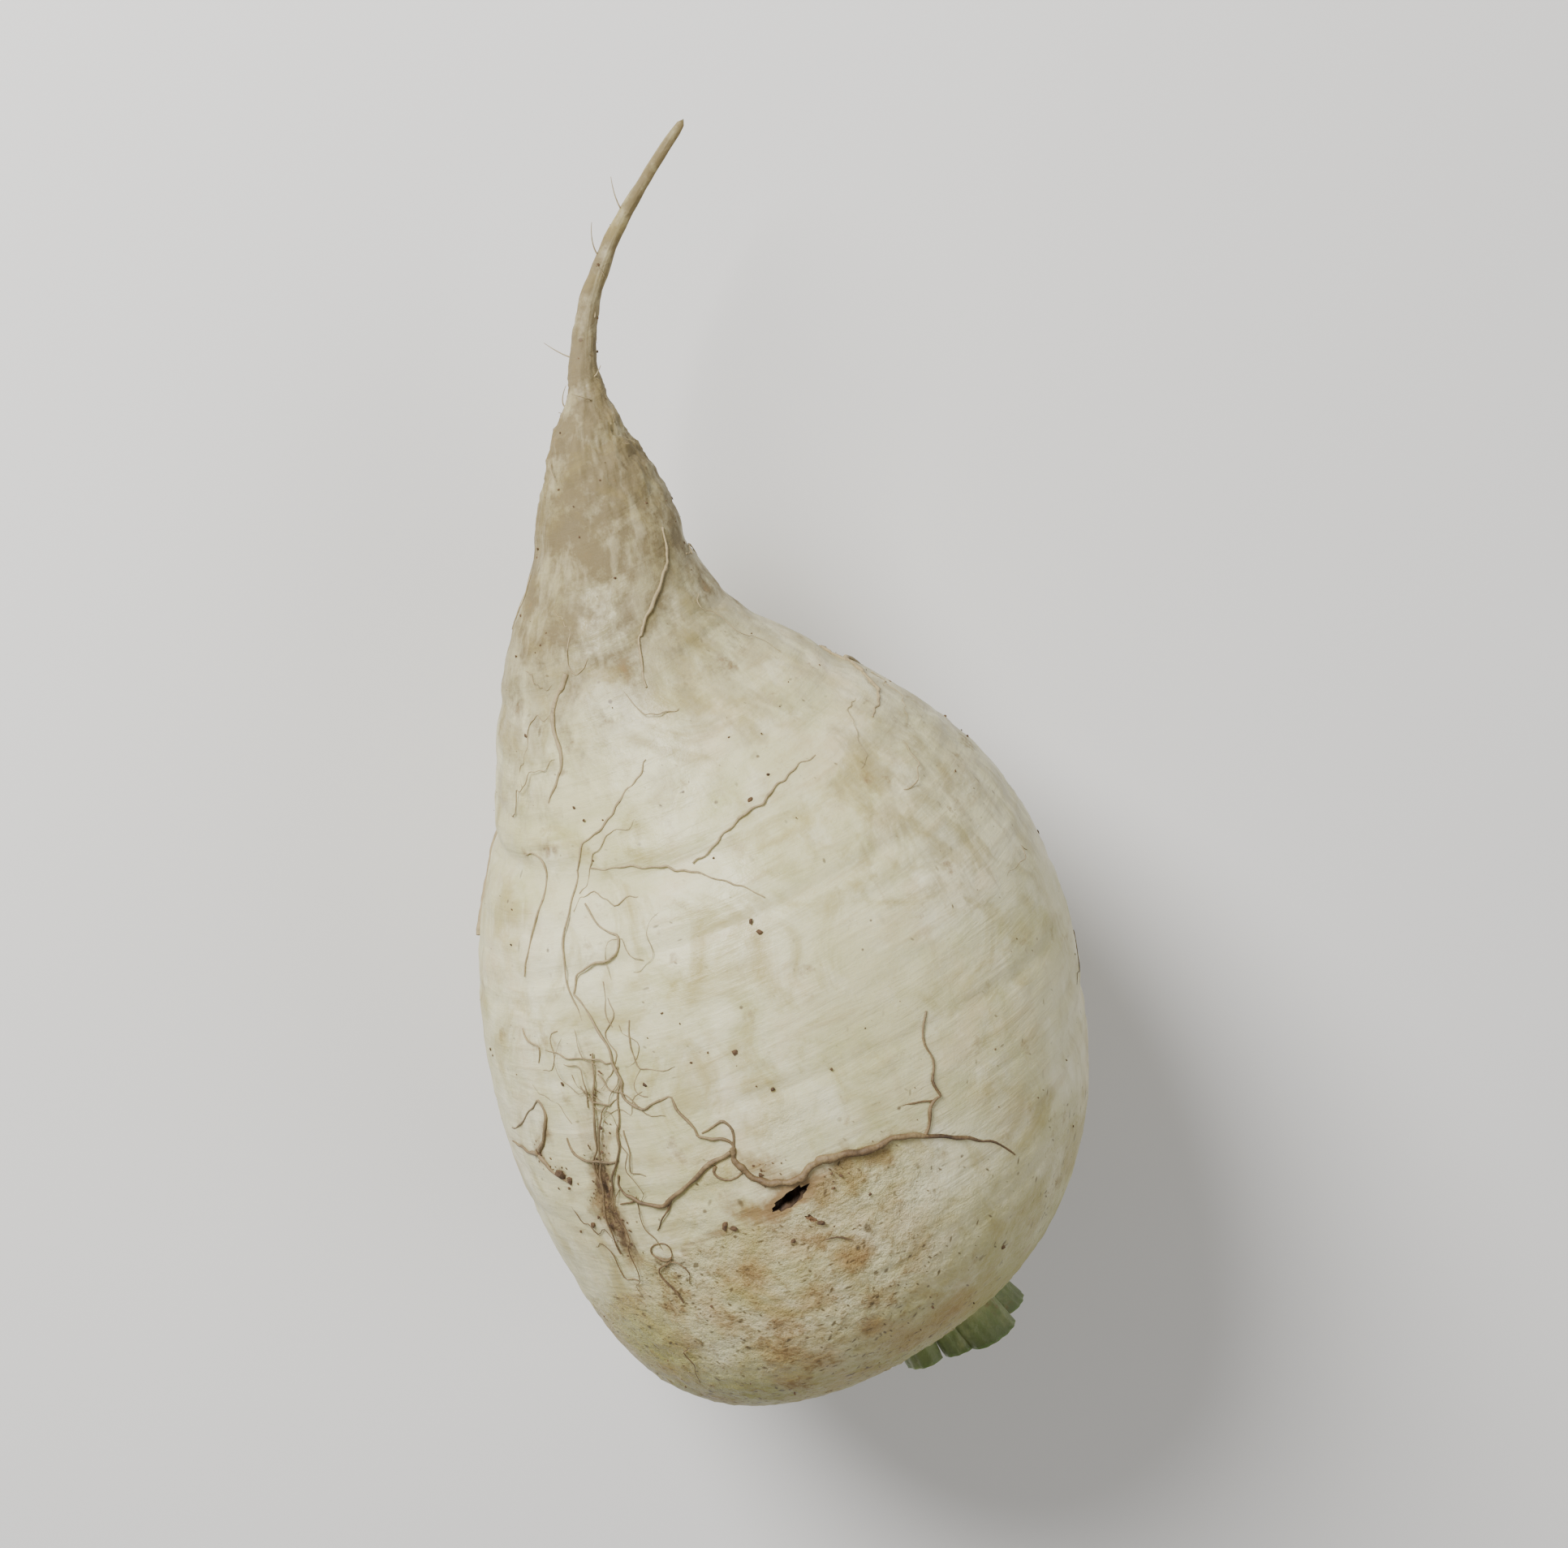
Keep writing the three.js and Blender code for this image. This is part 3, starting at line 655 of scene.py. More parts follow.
marks = {
    "soil_film_and_shade": np.maximum.reduce([
        1.0 - smoothstep(placed[:, 0], -68, -20),
        # Partly soil and partly painted shade on the right flank, which turns away from the light
        0.5 * smoothstep(placed[:, 1], 8, 30) * (1 - smoothstep(placed[:, 0], -22, 4)),
        0.42 * near(placed, corky_places, 5),
        0.5 * near(placed, furrow, 5.5, furrow_stain),
        # Darker towards the floor
        0.45 * (1 - smoothstep(placed[:, 2], 4, 20)),
    ]),
    "stain": np.maximum.reduce([
        0.8 * near(placed, seen_points(STAINED_SEEN), 2.6),
        1.1 * near(placed, hole_places, 1.5),
        0.7 * near(placed, seen_points(BRUISED_SEEN), 2.6),
    ]),
    "speckled": np.maximum.reduce([
        0.78 * near(placed, seen_points(RUSTY_SEEN), 4.6),
        0.5 * worn,
        0.3 * crown_end,
        0.3 * near(placed, seen_points(SPECKLED_SEEN), 5),
    ]),
    "green_tint_and_rim_shade": np.maximum(
        0.95 * (1 - smoothstep(crown_gap, 14, 43)),
        # Partly green and partly painted shade along the lower rim
        near(placed, seen_points(GREEN_AND_SHADED_RIM_SEEN), 8),
    ),
    "ochre": np.maximum(
        0.8 * near(placed, seen_points(OCHRE_SEEN), 4.5),
        0.6 * (1 - smoothstep(crown_gap, 9, 14)),
    ),
    "scar": np.maximum.reduce([
        near(placed, furrow, 1.9, furrow_stain),
        0.75 * near(placed, corky_places, 1.4),
        0.8 * near(placed, hole_places, 1.1),
        0.6 * near(placed, scars, 0.9),
        0.62 * torn,
    ]),
}


def paint(piece, name, values):
    painted = piece.data.attributes.new(name, "FLOAT", "POINT")
    painted.data.foreach_set("value", values.astype(np.float32))


for name, values in marks.items():
    paint(root, name, values)

# The place on the root as if it were straight, for the streaks that follow its growth
middle_line = spine(station_at(placed[:, 0]))
straight = np.column_stack([placed[:, 0], placed[:, 1:] - middle_line[:, 1:]]) * MM
grown_place = root.data.attributes.new("straightened", "FLOAT_VECTOR", "POINT")
grown_place.data.foreach_set("vector", straight.astype(np.float32).ravel())
select_only(root)
bpy.ops.object.shade_smooth_by_angle(angle=math.radians(40))
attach(root, "root")
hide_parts("root_body")


# The side roots: brown strands as thin as thread, a few as thick as twine, that grew out of the
# furrow and the scars and dried flat against the skin. The thickest forks beside the hole.
SIDE_ROOTS = [
    # radius at the start, in the middle and at the end, route seen from above
    (0.34, 0.5, 0.1, [
        (12.4, -10.5), (13.6, -10.7), (15, -10.4), (16.5, -9.4), (17.8, -8.1), (18.5, -6.1),
        (18.5, -4.5), (17.9, -2.8), (17.5, -1.5), (18.2, 0.9), (18.8, 3.5), (18.8, 5.8),
        (19.2, 8.3), (20.2, 10.6), (21.9, 13.4), (23.2, 15.4), (24.6, 17.4), (27.5, 19),
    ]),
    (0.22, 0.17, 0.1, [
        (20.1, 10.7), (18.5, 11.9), (17, 12.9), (16.5, 13.9), (14.8, 13.9), (12.5, 14.8), (9.5, 15),
        (7, 16.4),
    ]),
    (0.13, 0.11, 0.06, [(16.8, 13.4), (16.3, 11.7), (16, 10.2), (16, 8.9)]),
    (0.12, 0.18, 0.16, [
        (-11.1, -20.2), (-8.8, -19.5), (-6.7, -19.1), (-3.7, -18.9), (-2.1, -19), (-0.1, -19),
        (1.6, -19.5), (3.4, -18.8), (4.1, -17.5), (3.9, -15.8),
    ]),
    (0.16, 0.15, 0.2, [
        (3.9, -15.8), (4.1, -14.4), (5.4, -14.5), (7, -13.9), (8.5, -13.3), (9.6, -13.4),
        (10.1, -12.4), (10.5, -11.3), (11.4, -10.3), (12.6, -10.4),
    ]),
    (0.13, 0.17, 0.18, [
        (9.3, -13), (8.8, -11.2), (9, -10), (9.9, -9.6), (11.3, -9.9), (12.4, -10.5),
    ]),
    (0.3, 0.27, 0.12, [
        (12.6, -10.8), (12.9, -12.3), (13.2, -14.4), (14, -16.4), (14.7, -18.3), (15.4, -19.8),
        (15.3, -21.2), (14.4, -22.7), (13.6, -23.7), (12.6, -24.5), (11.3, -24.6), (10.4, -24.3),
    ]),
    (0.14, 0.12, 0.08, [(13.6, -23.7), (13.7, -24.5), (13.6, -25.5)]),
    (0.16, 0.12, 0.05, [(15.4, -19.8), (16.3, -20.7), (17.4, -21.8), (18.2, -22.8)]),
    (0.18, 0.16, 0.1, [
        (13.4, -13.1), (13.9, -13.6), (14.7, -13.5), (15.4, -12.5), (15.5, -11.2), (15.1, -10.1),
    ]),
    (0.13, 0.17, 0.12, [
        (4.1, -28.4), (5.4, -28.4), (6.7, -28.1), (7.7, -26.9), (8.2, -25.2), (8.8, -23.4),
    ]),
    (0.1, 0.15, 0.12, [
        (-4.2, -20.9), (-0.9, -22.3), (2.2, -23.8), (5.6, -25), (8.2, -26.5), (12, -27),
    ]),
    (0.1, 0.15, 0.1, [
        (-0.2, -19.2), (2.4, -20.5), (5.1, -21.7), (7.8, -23), (11, -25.4), (14, -26.6),
    ]),
    (0.1, 0.13, 0.1, [
        (2, -22.1), (4.2, -23.9), (8.5, -25.8), (11.3, -26.8), (16, -28.2), (19.6, -28.3),
    ]),
    (0.09, 0.1, 0.06, [(-1.1, -24), (1.2, -23.3), (2.2, -21.8), (1.8, -20.4)]),
    (0.12, 0.13, 0.1, [
        (21.7, -22.9), (22.1, -22.9), (22.5, -24.3), (23.5, -24.7), (25, -24.2), (26.5, -23.9),
        (27.5, -23.7),
    ]),
    (0.1, 0.08, 0.04, [(22.3, -23.4), (22.9, -21.9), (24.3, -21.3), (25.6, -21.9)]),
    (0.1, 0.16, 0.3, [
        (1.1, -35.3), (0.9, -33.9), (-0.3, -31.7), (-1.2, -30.1), (-0.1, -29.8), (1.6, -30.3),
        (3.1, -31.3), (4.5, -32.6),
    ]),
    (0.1, 0.18, 0.34, [(2.5, -36.1), (3.5, -35.2), (4.4, -34.1), (4.8, -33)]),
    (0.3, 0.2, 0.12, [(5, -32.9), (6.5, -32.5), (8, -31.9), (9.3, -30.5)]),
    (0.1, 0.12, 0.07, [(-10, -28.1), (-8.5, -28.2), (-6.9, -27), (-5.4, -27.9)]),
    (0.07, 0.1, 0.09, [(-6.4, -26.4), (-4.8, -23.9), (-3.1, -20.5), (-2.2, -19.2)]),
    (0.08, 0.11, 0.06, [(26.7, -5.2), (27.1, -3.1), (28.2, -2)]),
    (0.08, 0.15, 0.1, [
        (-32.8, -1.3), (-31.1, -3.4), (-29.7, -6.2), (-27.8, -8.8), (-26.9, -11.9), (-24.4, -14.3),
    ]),
    (0.08, 0.17, 0.1, [
        (-25.3, 16.7), (-24.8, 13.8), (-23.8, 11.1), (-22.7, 8.4), (-22, 5), (-20.4, 1.7),
        (-19.6, -1.4),
    ]),
    (0.08, 0.14, 0.08, [
        (-23.8, -12.8), (-22.3, -8.6), (-20.7, -4.9), (-19, -2.1), (-15.9, 1.9), (-12.8, 4.9),
    ]),
    (0.08, 0.14, 0.1, [
        (-28.5, -19.6), (-27.3, -17.9), (-23.9, -19), (-21.2, -21), (-17.3, -24.1), (-15.2, -25.5),
    ]),
    (0.1, 0.15, 0.12, [
        (-20.2, -14.8), (-17.2, -14), (-15.3, -12.6), (-13.6, -13.8), (-13.5, -16.5),
        (-13.2, -18.9), (-11.1, -20.2),
    ]),
    (0.1, 0.13, 0.07, [(-24.4, -14.3), (-21.6, -16), (-17.5, -18.7), (-12.9, -20.3), (-8, -20.5)]),
    (0.12, 0.22, 0.12, [
        (-57.4, 11.3), (-54.2, 10.5), (-52.1, 9.1), (-47.8, 5), (-45.8, 3.5), (-40.5, 2),
    ]),
    (0.3, 0.26, 0.12, [(-46, -6), (-42, -9.5), (-37, -10.5), (-33, -14)]),
]
RING_SEEN = (20.7, -23.3)
RING_RADIUS = 1.15
STRAND_SPACING = 0.5
DEGREE_LENGTH = 0.6  # about what a degree measures along the skin
STRAND_SEAT = 0.3  # share of its radius that a strand's middle lies above the skin
HIDDEN_SIDE_ROOTS = 9  # more of them on the flanks and underside, grown by the solid's own rule
HIDDEN_ROOT_RADII = (0.3, 0.26, 0.12)
HIDDEN_ROOT_STEPS = (5, 9)
HIDDEN_ROOT_STEP = 3.2
HIDDEN_ROOT_BEND = (-0.7, 0.7)  # how far it turns at a step, in radians
HIDDEN_ROOT_START = {"along": (-40, 34), "angle": (285, 345)}
HIDDEN_ROOT_ALONG = (-50, 38)
OTHER_ROW_SHARE = 0.35  # how many start lower down instead
OTHER_ROW_DEGREES = 110
HIDDEN_ROOT_SEED = 21
REST_CLEARANCE = 15  # side roots keep this far from the middle of the flat spot
HAIRS = 70
HAIRS_IN_UPPER_ROW = 0.4  # share of them, and so on up
HAIRS_IN_LOWER_ROW = 0.7
UPPER_ROW_ANGLE = 128
LOWER_ROW_ANGLE = 315
HAIR_STEP = 1.7
HAIR_RADII = (0.04, 0.09)
TAIL_HAIRS = 16
TAIL_HAIR_POINTS = 14


def part_way(ends, share):
    return ends[0] + (ends[1] - ends[0]) * share


def seeded(seed):
    """The same draws between 0 and 1 as the solid's hidden side roots are grown with."""
    state = seed
    while True:
        state = (state * 1664525 + 1013904223) % 4294967296
        yield state / 4294967296


def follow(x, degrees):
    """Closely spaced lengths and angles on a smooth route through a few of them."""
    route = np.column_stack([x, np.asarray(degrees) * DEGREE_LENGTH])
    steps = max(6, int(np.sum(np.linalg.norm(np.diff(route, axis=0), axis=1)) / STRAND_SPACING))
    smooth = through(route, np.linspace(0, 1, steps))
    return smooth[:, 0], smooth[:, 1] / DEGREE_LENGTH


def add_strand(x, degrees, radii, lift=0.0, wiggle=0.12):
    """A strand on the skin, with waves and knobs of about a millimetre."""
    x, degrees = follow(x, degrees)
    share = np.linspace(0, 1, len(x))
    length = share * len(x) * STRAND_SPACING
    phase = [draw.uniform(0, 6.28) for _ in range(4)]
    x = x + wiggle * (np.sin(length / 0.9 + phase[0]) + 0.7 * np.sin(length / 0.43 + phase[1]))
    degrees = degrees + 1.5 * wiggle * np.sin(length / 0.7 + phase[2])
    radius = np.interp(share, np.linspace(0, 1, len(radii)), radii)
    radius = radius * (1 + 0.14 * np.sin(length / 0.8 + phase[3]) + 0.1 * np.sin(length / 0.31))
    height = radius * STRAND_SEAT + lift * np.sin(math.pi * share) ** 2
    add_spline(skin(station_at(x), degrees, height), radius)


def add_spline(points, radius):
    spline = side_roots.data.splines.new("POLY")
    spline.points.add(len(points) - 1)
    for point, place, size in zip(spline.points, points, radius):
        point.co = (*(place * MM), 1)
        point.radius = size


side_roots = started(bpy.ops.curve.primitive_nurbs_path_add)
side_roots.name = "side_roots"
side_roots.data.splines.clear()
side_roots.data.dimensions = "3D"
side_roots.data.bevel_depth = MM
side_roots.data.bevel_resolution = 2
side_roots.data.use_fill_caps = True
draw = random.Random(11)
for *radii, seen in SIDE_ROOTS:
    t, degrees = under_view(seen)
    lengths = through(ROOT_OUTLINE[:, :2], t)[:, 0]
    add_strand(lengths, degrees, radii, draw.choice([0, 0.1, 0.2]))

# The curled end beside the furrow
turn = np.radians(np.linspace(20, 395, 40))
reach = RING_RADIUS + 0.14 * np.sin(2 * turn) + 0.08 * np.sin(3 * turn + 1)
ring = np.column_stack([RING_SEEN[0] + reach * np.cos(turn), RING_SEEN[1] + reach * np.sin(turn)])
t, degrees = under_view(ring)
add_spline(skin(t, degrees, 0.12), np.linspace(0.06, 0.13, len(ring)))

# Side roots on the flanks and underside, on the same routes as the solid's
chance = seeded(HIDDEN_ROOT_SEED)
for _ in range(HIDDEN_SIDE_ROOTS):
    along = part_way(HIDDEN_ROOT_START["along"], next(chance))
    angle = part_way(HIDDEN_ROOT_START["angle"], next(chance))
    if next(chance) < OTHER_ROW_SHARE:
        angle -= OTHER_ROW_DEGREES
    heading = 2 * math.pi * next(chance)
    lengths, angles = [], []
    for _ in range(math.floor(part_way(HIDDEN_ROOT_STEPS, next(chance)) + 0.5)):
        foot = skin(station_at(along), angle)[0]
        if math.hypot(foot[0], foot[1]) <= REST_CLEARANCE and foot[2] <= REST_CLEARANCE:
            break
        lengths.append(along)
        angles.append(angle)
        heading += part_way(HIDDEN_ROOT_BEND, next(chance))
        size = through(ROOT_OUTLINE[:, :2], station_at(along))[0, 1]
        along = float(np.clip(along + HIDDEN_ROOT_STEP * math.cos(heading), *HIDDEN_ROOT_ALONG))
        angle += math.degrees(HIDDEN_ROOT_STEP * math.sin(heading) / size)
    if len(lengths) > 2:
        add_strand(lengths, angles, HIDDEN_ROOT_RADII)

# Hair roots, thickest along the two rows of scars
for _ in range(HAIRS):
    row = draw.random()
    if row < HAIRS_IN_UPPER_ROW:
        along = draw.uniform(-30, 20)
        angle = UPPER_ROW_ANGLE + 0.35 * along + draw.gauss(0, 7)
    elif row < HAIRS_IN_LOWER_ROW:
        along = draw.uniform(-50, 30)
        angle = LOWER_ROW_ANGLE + draw.gauss(0, 14)
    else:
        along = draw.triangular(-66, 34, -50)
        angle = draw.uniform(0, 360)
    heading = draw.uniform(0, 6.28)
    lengths, angles = [along], [angle]
    for _ in range(draw.randint(3, 7)):
        heading += draw.gauss(0, 0.7)
        size = max(6.0, through(ROOT_OUTLINE[:, :2], station_at(lengths[-1]))[0, 1])
        lengths.append(min(max(lengths[-1] + HAIR_STEP * math.cos(heading), -74), 38))
        angles.append(angles[-1] + math.degrees(HAIR_STEP * math.sin(heading) / size))
    heights = skin(station_at(lengths), angles)[:, 2]
    if heights.min() > 2.5:
        thin = draw.uniform(*HAIR_RADII)
        lift = draw.choice([0, 0, 0.3, 0.7])
        add_strand(lengths, angles, (thin, thin, thin / 2), lift, wiggle=0.2)

# Short wiry hairs that stand off the tail
for _ in range(TAIL_HAIRS):
    t = draw.uniform(0.05, 0.3)
    angle = draw.uniform(0, 360)
    foot = skin(t, angle, -0.3)[0]
    out = unit(skin(t, angle, 2)[0] - foot)
    drift = [draw.uniform(-1, -0.2), draw.uniform(-0.6, 0.6), draw.uniform(-0.8, 0.2)]
    drift = unit(np.array(drift))
    reach = draw.uniform(1.5, 5)
    shares = np.linspace(0, 1, TAIL_HAIR_POINTS)[:, None]
    points = foot + out * reach * 0.5 * np.sin(shares * 1.4) + drift * reach * shares**1.6
    add_spline(points, np.linspace(0.11, 0.04, TAIL_HAIR_POINTS))
select_only(side_roots)
bpy.ops.object.convert(target="MESH")
bpy.ops.object.shade_smooth()


def make_side_root_material():
    look = Recipe("side_root_bark", 0.62)
    colour = look.ramp(look.noise(260, 6, 0.65), [
        (0.28, linear(60, 44, 30)),
        (0.5, linear(104, 82, 53)),
        (0.75, linear(142, 122, 84)),
    ])
    along = look.add("ShaderNodeSeparateXYZ", {"Vector": look.place}).outputs["X"]
    colour = look.mix(look.scaled(along, -0.02, 0.009, 0.8, 0), colour, linear(162, 146, 108))
    fibres = look.noise(1800, 4, 0.7)
    colour = look.mix(look.scaled(fibres, 0.52, 0.78, 0, 0.6), colour, linear(48, 36, 26))
    look.give("Base Color", colour)
    look.bump(fibres, 0.00015)
    return look.material


side_roots.data.materials.append(make_side_root_material())
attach(side_roots, "root")


# Crumbs of dried soil left on the skin: they stick in the furrow, round the hole, on the neck
# and the tail, with a few anywhere.
CRUMBS = 420
CRUMB_RADII = (0.06, 0.34, 0.09)  # least, most and commonest
CRUMB_SINK = 0.1  # share of its radius
CRUMB_CLEARANCE = 1.5  # none lie lower than this above the floor
CRUMBS_IN_FURROW = 0.24  # share of them, and so on up
CRUMBS_AT_SCARS = 0.36
CRUMBS_ON_NECK = 0.6
CRUMB_PLACES_SEEN = [(5, -33), (8, -31.2), (16, -8), (20, -1)]
CLODS = [
    # radius, place seen from above
    (0.7, (20.4, -15.0)),
    (0.5, (21.2, -14.2)),
    (0.55, (24.6, -4.6)),
    (0.9, (8.1, -31.2)),
    (0.6, (9.0, -30.4)),
    (0.6, (4.9, -32.9)),
    (0.35, (25.3, -8.5)),
    (0.35, (-2.0, -26.1)),
    (0.38, (1.5, -16.7)),
    (0.5, (15.0, -30.1)),
    (0.3, (15.4, -32.1)),
    (0.4, (2.1, -5.6)),
    (0.3, (7.8, -3.3)),
    (0.4, (-23.6, 7.9)),
    (0.45, (-9.3, 2.7)),
    (0.4, (-10.9, 2.3)),
    (0.35, (37.5, 13.5)),
]
crumb = started(bpy.ops.mesh.primitive_ico_sphere_add, subdivisions=1, radius=1)
crumb.name = "crumb"
lump = coordinates(crumb)
place_vertices(crumb, lump * (1 + 0.5 * noise_at(lump, 1.4))[:, None])
crumb.data.materials.append(make_crumbly_material(
    "dried_soil", (58, 42, 28), (112, 86, 58), fineness=700, relief=0.0001, roughness=0.9,
))
draw = random.Random(31)
crumbs = []


def drop_crumb(t, angle, size):
    foot = skin(t, angle, size * CRUMB_SINK)[0]
    if foot[2] < CRUMB_CLEARANCE:
        return
    copy = crumb.copy()
    copy.data = crumb.data.copy()
    bpy.context.collection.objects.link(copy)
    out = Vector(unit(skin(t, angle, 3.0)[0] - foot))
    lie = Vector((0, 0, 1)).rotation_difference(out).to_matrix().to_4x4()
    flat = Matrix.Diagonal((size, size * draw.uniform(0.5, 1), size * draw.uniform(0.35, 0.6), 1))
    spin = Matrix.Rotation(draw.uniform(0, 6.28), 4, "Z")
    settle = Matrix.Translation(Vector(foot * MM)) @ lie @ spin @ flat
    copy.data.transform(settle @ Matrix.Scale(MM, 4))
    crumbs.append(copy)


for size, seen in CLODS:
    t, degrees = under_view([seen])
    drop_crumb(t[0], degrees[0], size)
furrow_t, furrow_degrees = under_view(FURROW_SEEN)
scar_t, scar_degrees = under_view(CRUMB_PLACES_SEEN)
for _ in range(CRUMBS):
    kind = draw.random()
    if kind < CRUMBS_IN_FURROW:
        pick = draw.triangular(0, len(FURROW_SEEN) - 1, 3)
        t = np.interp(pick, range(len(FURROW_SEEN)), furrow_t)
        angle = np.interp(pick, range(len(FURROW_SEEN)), furrow_degrees) + draw.gauss(0, 2)
    elif kind < CRUMBS_AT_SCARS:
        pick = draw.randrange(len(CRUMB_PLACES_SEEN))
        t = scar_t[pick] + draw.gauss(0, 0.003)
        angle = scar_degrees[pick] + draw.gauss(0, 2.2)
    elif kind < CRUMBS_ON_NECK:
        t = station_at(draw.triangular(-95, -20, -62))
        angle = draw.uniform(0, 360)
    else:
        t = station_at(draw.uniform(-40, 40))
        angle = draw.uniform(0, 360)
    drop_crumb(t, angle, draw.triangular(*CRUMB_RADII))
bpy.data.objects.remove(crumb)


def joined(pieces, name):
    """One piece made of all of them."""
    bpy.ops.object.select_all(action="DESELECT")
    for piece in pieces:
        piece.select_set(True)
    bpy.context.view_layer.objects.active = pieces[0]
    bpy.ops.object.join()
    whole = bpy.context.object
    whole.name = name
    return whole


soil_crumbs = joined(crumbs, "soil_crumbs")
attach(soil_crumbs, "root")


# The leaf stalks: a spiral of fleshy ribbed stalks round the heart, on the low disc that they
# grow from. A knife cut them off together, slightly aslant, so their ends show pale wet flesh.
STALKS = 12
STALK_SIZES = {
    # at the heart, and outermost
    "width": (2.4, 6.6),
    "thick": (1.7, 2.8),
    "out": (0.1, 5.6),
    "lean": (2, 13),
}
STALK_SUNK = 1.0  # how deep in the disc a stalk starts
STALK_RINGS = 12
STALK_RING_GAP = 0.85
STALK_FLARE = 0.22
STALK_FLARE_HEIGHT = 4
GOLDEN_ANGLE = math.radians(137.5)
STALK_CUT_HEIGHT = 6.6
STALK_CUT_TILT = math.radians(7)
STALK_RIM = 0.22  # width of the firm rim of a cut end
STALK_SLOPE = 0.18
STALK_MIDDLE_SINKS = 0.12
CROWN_DISC = [  # radius, height
    (8.8, -2.0), (9.6, -0.9), (9.5, 0.7), (8.2, 1.5), (4.0, 2.0), (0.0, 2.1),
]
DISC_RINGS = 40
DISC_RIDGE_HEIGHT = 0.16
DISC_RIDGE_GAP = 1.25
CROWN_TURN = math.radians(11)
CROWN_DROOP = math.radians(4)
crown_out = Vector((
    math.cos(CROWN_TURN) * math.cos(CROWN_DROOP),
    math.sin(CROWN_TURN) * math.cos(CROWN_DROOP),
    -math.sin(CROWN_DROOP),
))
crown_turn = Vector((0, 0, 1)).rotation_difference(crown_out)
crown_place = Matrix.Translation(Vector(crown_middle * MM)) @ crown_turn.to_matrix().to_4x4()


def stalk_outline(turn, width, thick):
    """A stalk's section: rounded and ribbed outside, a shallow channel inside."""
    x, y = math.cos(turn), math.sin(turn)
    if y >= 0:
        return width / 2 * x, thick * y**0.8 * (1 + 0.035 * math.cos(turn * 13))
    return width / 2 * x, thick * (0.32 * y * y - 0.14 * math.sqrt(-y))


def make_stalk(i):
    grown = math.sqrt(i / (STALKS - 1))
    size = {key: part_way(ends, grown) for key, ends in STALK_SIZES.items()}
    stalk = started(bpy.ops.mesh.primitive_circle_add, vertices=56, radius=1, fill_type="NGON")
    for vertex in stalk.data.vertices:
        turn = math.atan2(vertex.co.y, vertex.co.x)
        vertex.co.x, vertex.co.y = stalk_outline(turn, size["width"], size["thick"])
        vertex.co.z = -STALK_SUNK
    bpy.ops.object.mode_set(mode="EDIT")
    bpy.ops.mesh.select_all(action="SELECT")
    for _ in range(STALK_RINGS):
        bpy.ops.mesh.extrude_region_move(TRANSFORM_OT_translate={"value": (0, 0, STALK_RING_GAP)})
    bpy.ops.mesh.select_all(action="SELECT")
    bpy.ops.mesh.normals_make_consistent(inside=False)
    bpy.ops.object.mode_set(mode="OBJECT")
    for vertex in stalk.data.vertices:
        low = 1 - min(max((vertex.co.z + STALK_SUNK) / STALK_FLARE_HEIGHT, 0), 1)
        vertex.co.x *= 1 + STALK_FLARE * low**2
        vertex.co.y += 0.1 * rough.noise(Vector((i * 3.1, vertex.co.z * 0.4, vertex.co.x * 0.3)))
        vertex.co.x += 0.25 * rough.noise(Vector((i * 7.7, vertex.co.z * 0.25, 4)))
    lean = Matrix.Rotation(-math.radians(size["lean"]), 4, "X")
    shift = Matrix.Translation((0, size["out"], 0))
    stalk.data.transform(Matrix.Rotation(i * GOLDEN_ANGLE, 4, "Z") @ shift @ lean)
    return stalk


def knife_cut(stalk, end_material):
    """Cuts the stalk across and sinks its soft middle a little."""
    select_only(stalk)
    bpy.ops.object.mode_set(mode="EDIT")
    bpy.ops.mesh.select_all(action="SELECT")
    bpy.ops.mesh.bisect(
        plane_co=(0, 0, STALK_CUT_HEIGHT),
        plane_no=(0, -math.sin(STALK_CUT_TILT), math.cos(STALK_CUT_TILT)),
        use_fill=True,
        clear_outer=True,
    )
    bpy.ops.object.mode_set(mode="OBJECT")
    for face in stalk.data.polygons:
        face.select = face.normal.z > 0.9 and face.center.z > STALK_CUT_HEIGHT / 2
        if face.select:
            face.material_index = end_material
    bpy.ops.object.mode_set(mode="EDIT")
    bpy.ops.mesh.select_mode(type="FACE")
    bpy.ops.mesh.inset(thickness=STALK_RIM, depth=0.0, use_even_offset=False)
    bpy.ops.mesh.inset(thickness=STALK_SLOPE, depth=-STALK_MIDDLE_SINKS, use_even_offset=False)
    bpy.ops.object.mode_set(mode="OBJECT")


def make_stalk_material():
    green = Recipe("leaf_stalk_green")
    ribs = green.noise(420, 5, 0.6)
    colour = green.ramp(green.painted("up_the_stalk"), [
        (0.0, linear(176, 164, 112)),
        (0.22, linear(160, 160, 100)),
        (0.5, linear(124, 136, 78)),
        (1.0, linear(96, 108, 60)),
    ])
    colour = green.mix(green.scaled(ribs, 0.5, 0.8, 0, 0.6), colour, linear(80, 92, 52))
    pale = green.scaled(green.noise(230, 5, 0.6), 0.55, 0.72, 0, 0.5)
    colour = green.mix(pale, colour, linear(176, 178, 124))
    dried = green.noise(170, 7, 0.7)
    low = green.scaled(green.painted("up_the_stalk"), 0, 0.3, 0.16, 0)
    dried_share = green.scaled(green.sum("ADD", dried, low), 0.6, 0.7, 0, 0.85)
    colour = green.mix(dried_share, colour, linear(128, 98, 58))
    fine = green.noise(800, 6, 0.7)
    colour = green.mix(green.scaled(fine, 0.58, 0.75, 0, 0.5), colour, linear(92, 74, 46))
    green.give("Base Color", colour)
    green.give("Roughness", green.scaled(dried_share, 0, 1, 0.36, 0.75))
    green.let_light_in(0.15, 0.001, 0.002, 0.0006)
    green.bump(fine, 0.00035, 0.7)
    return green.material


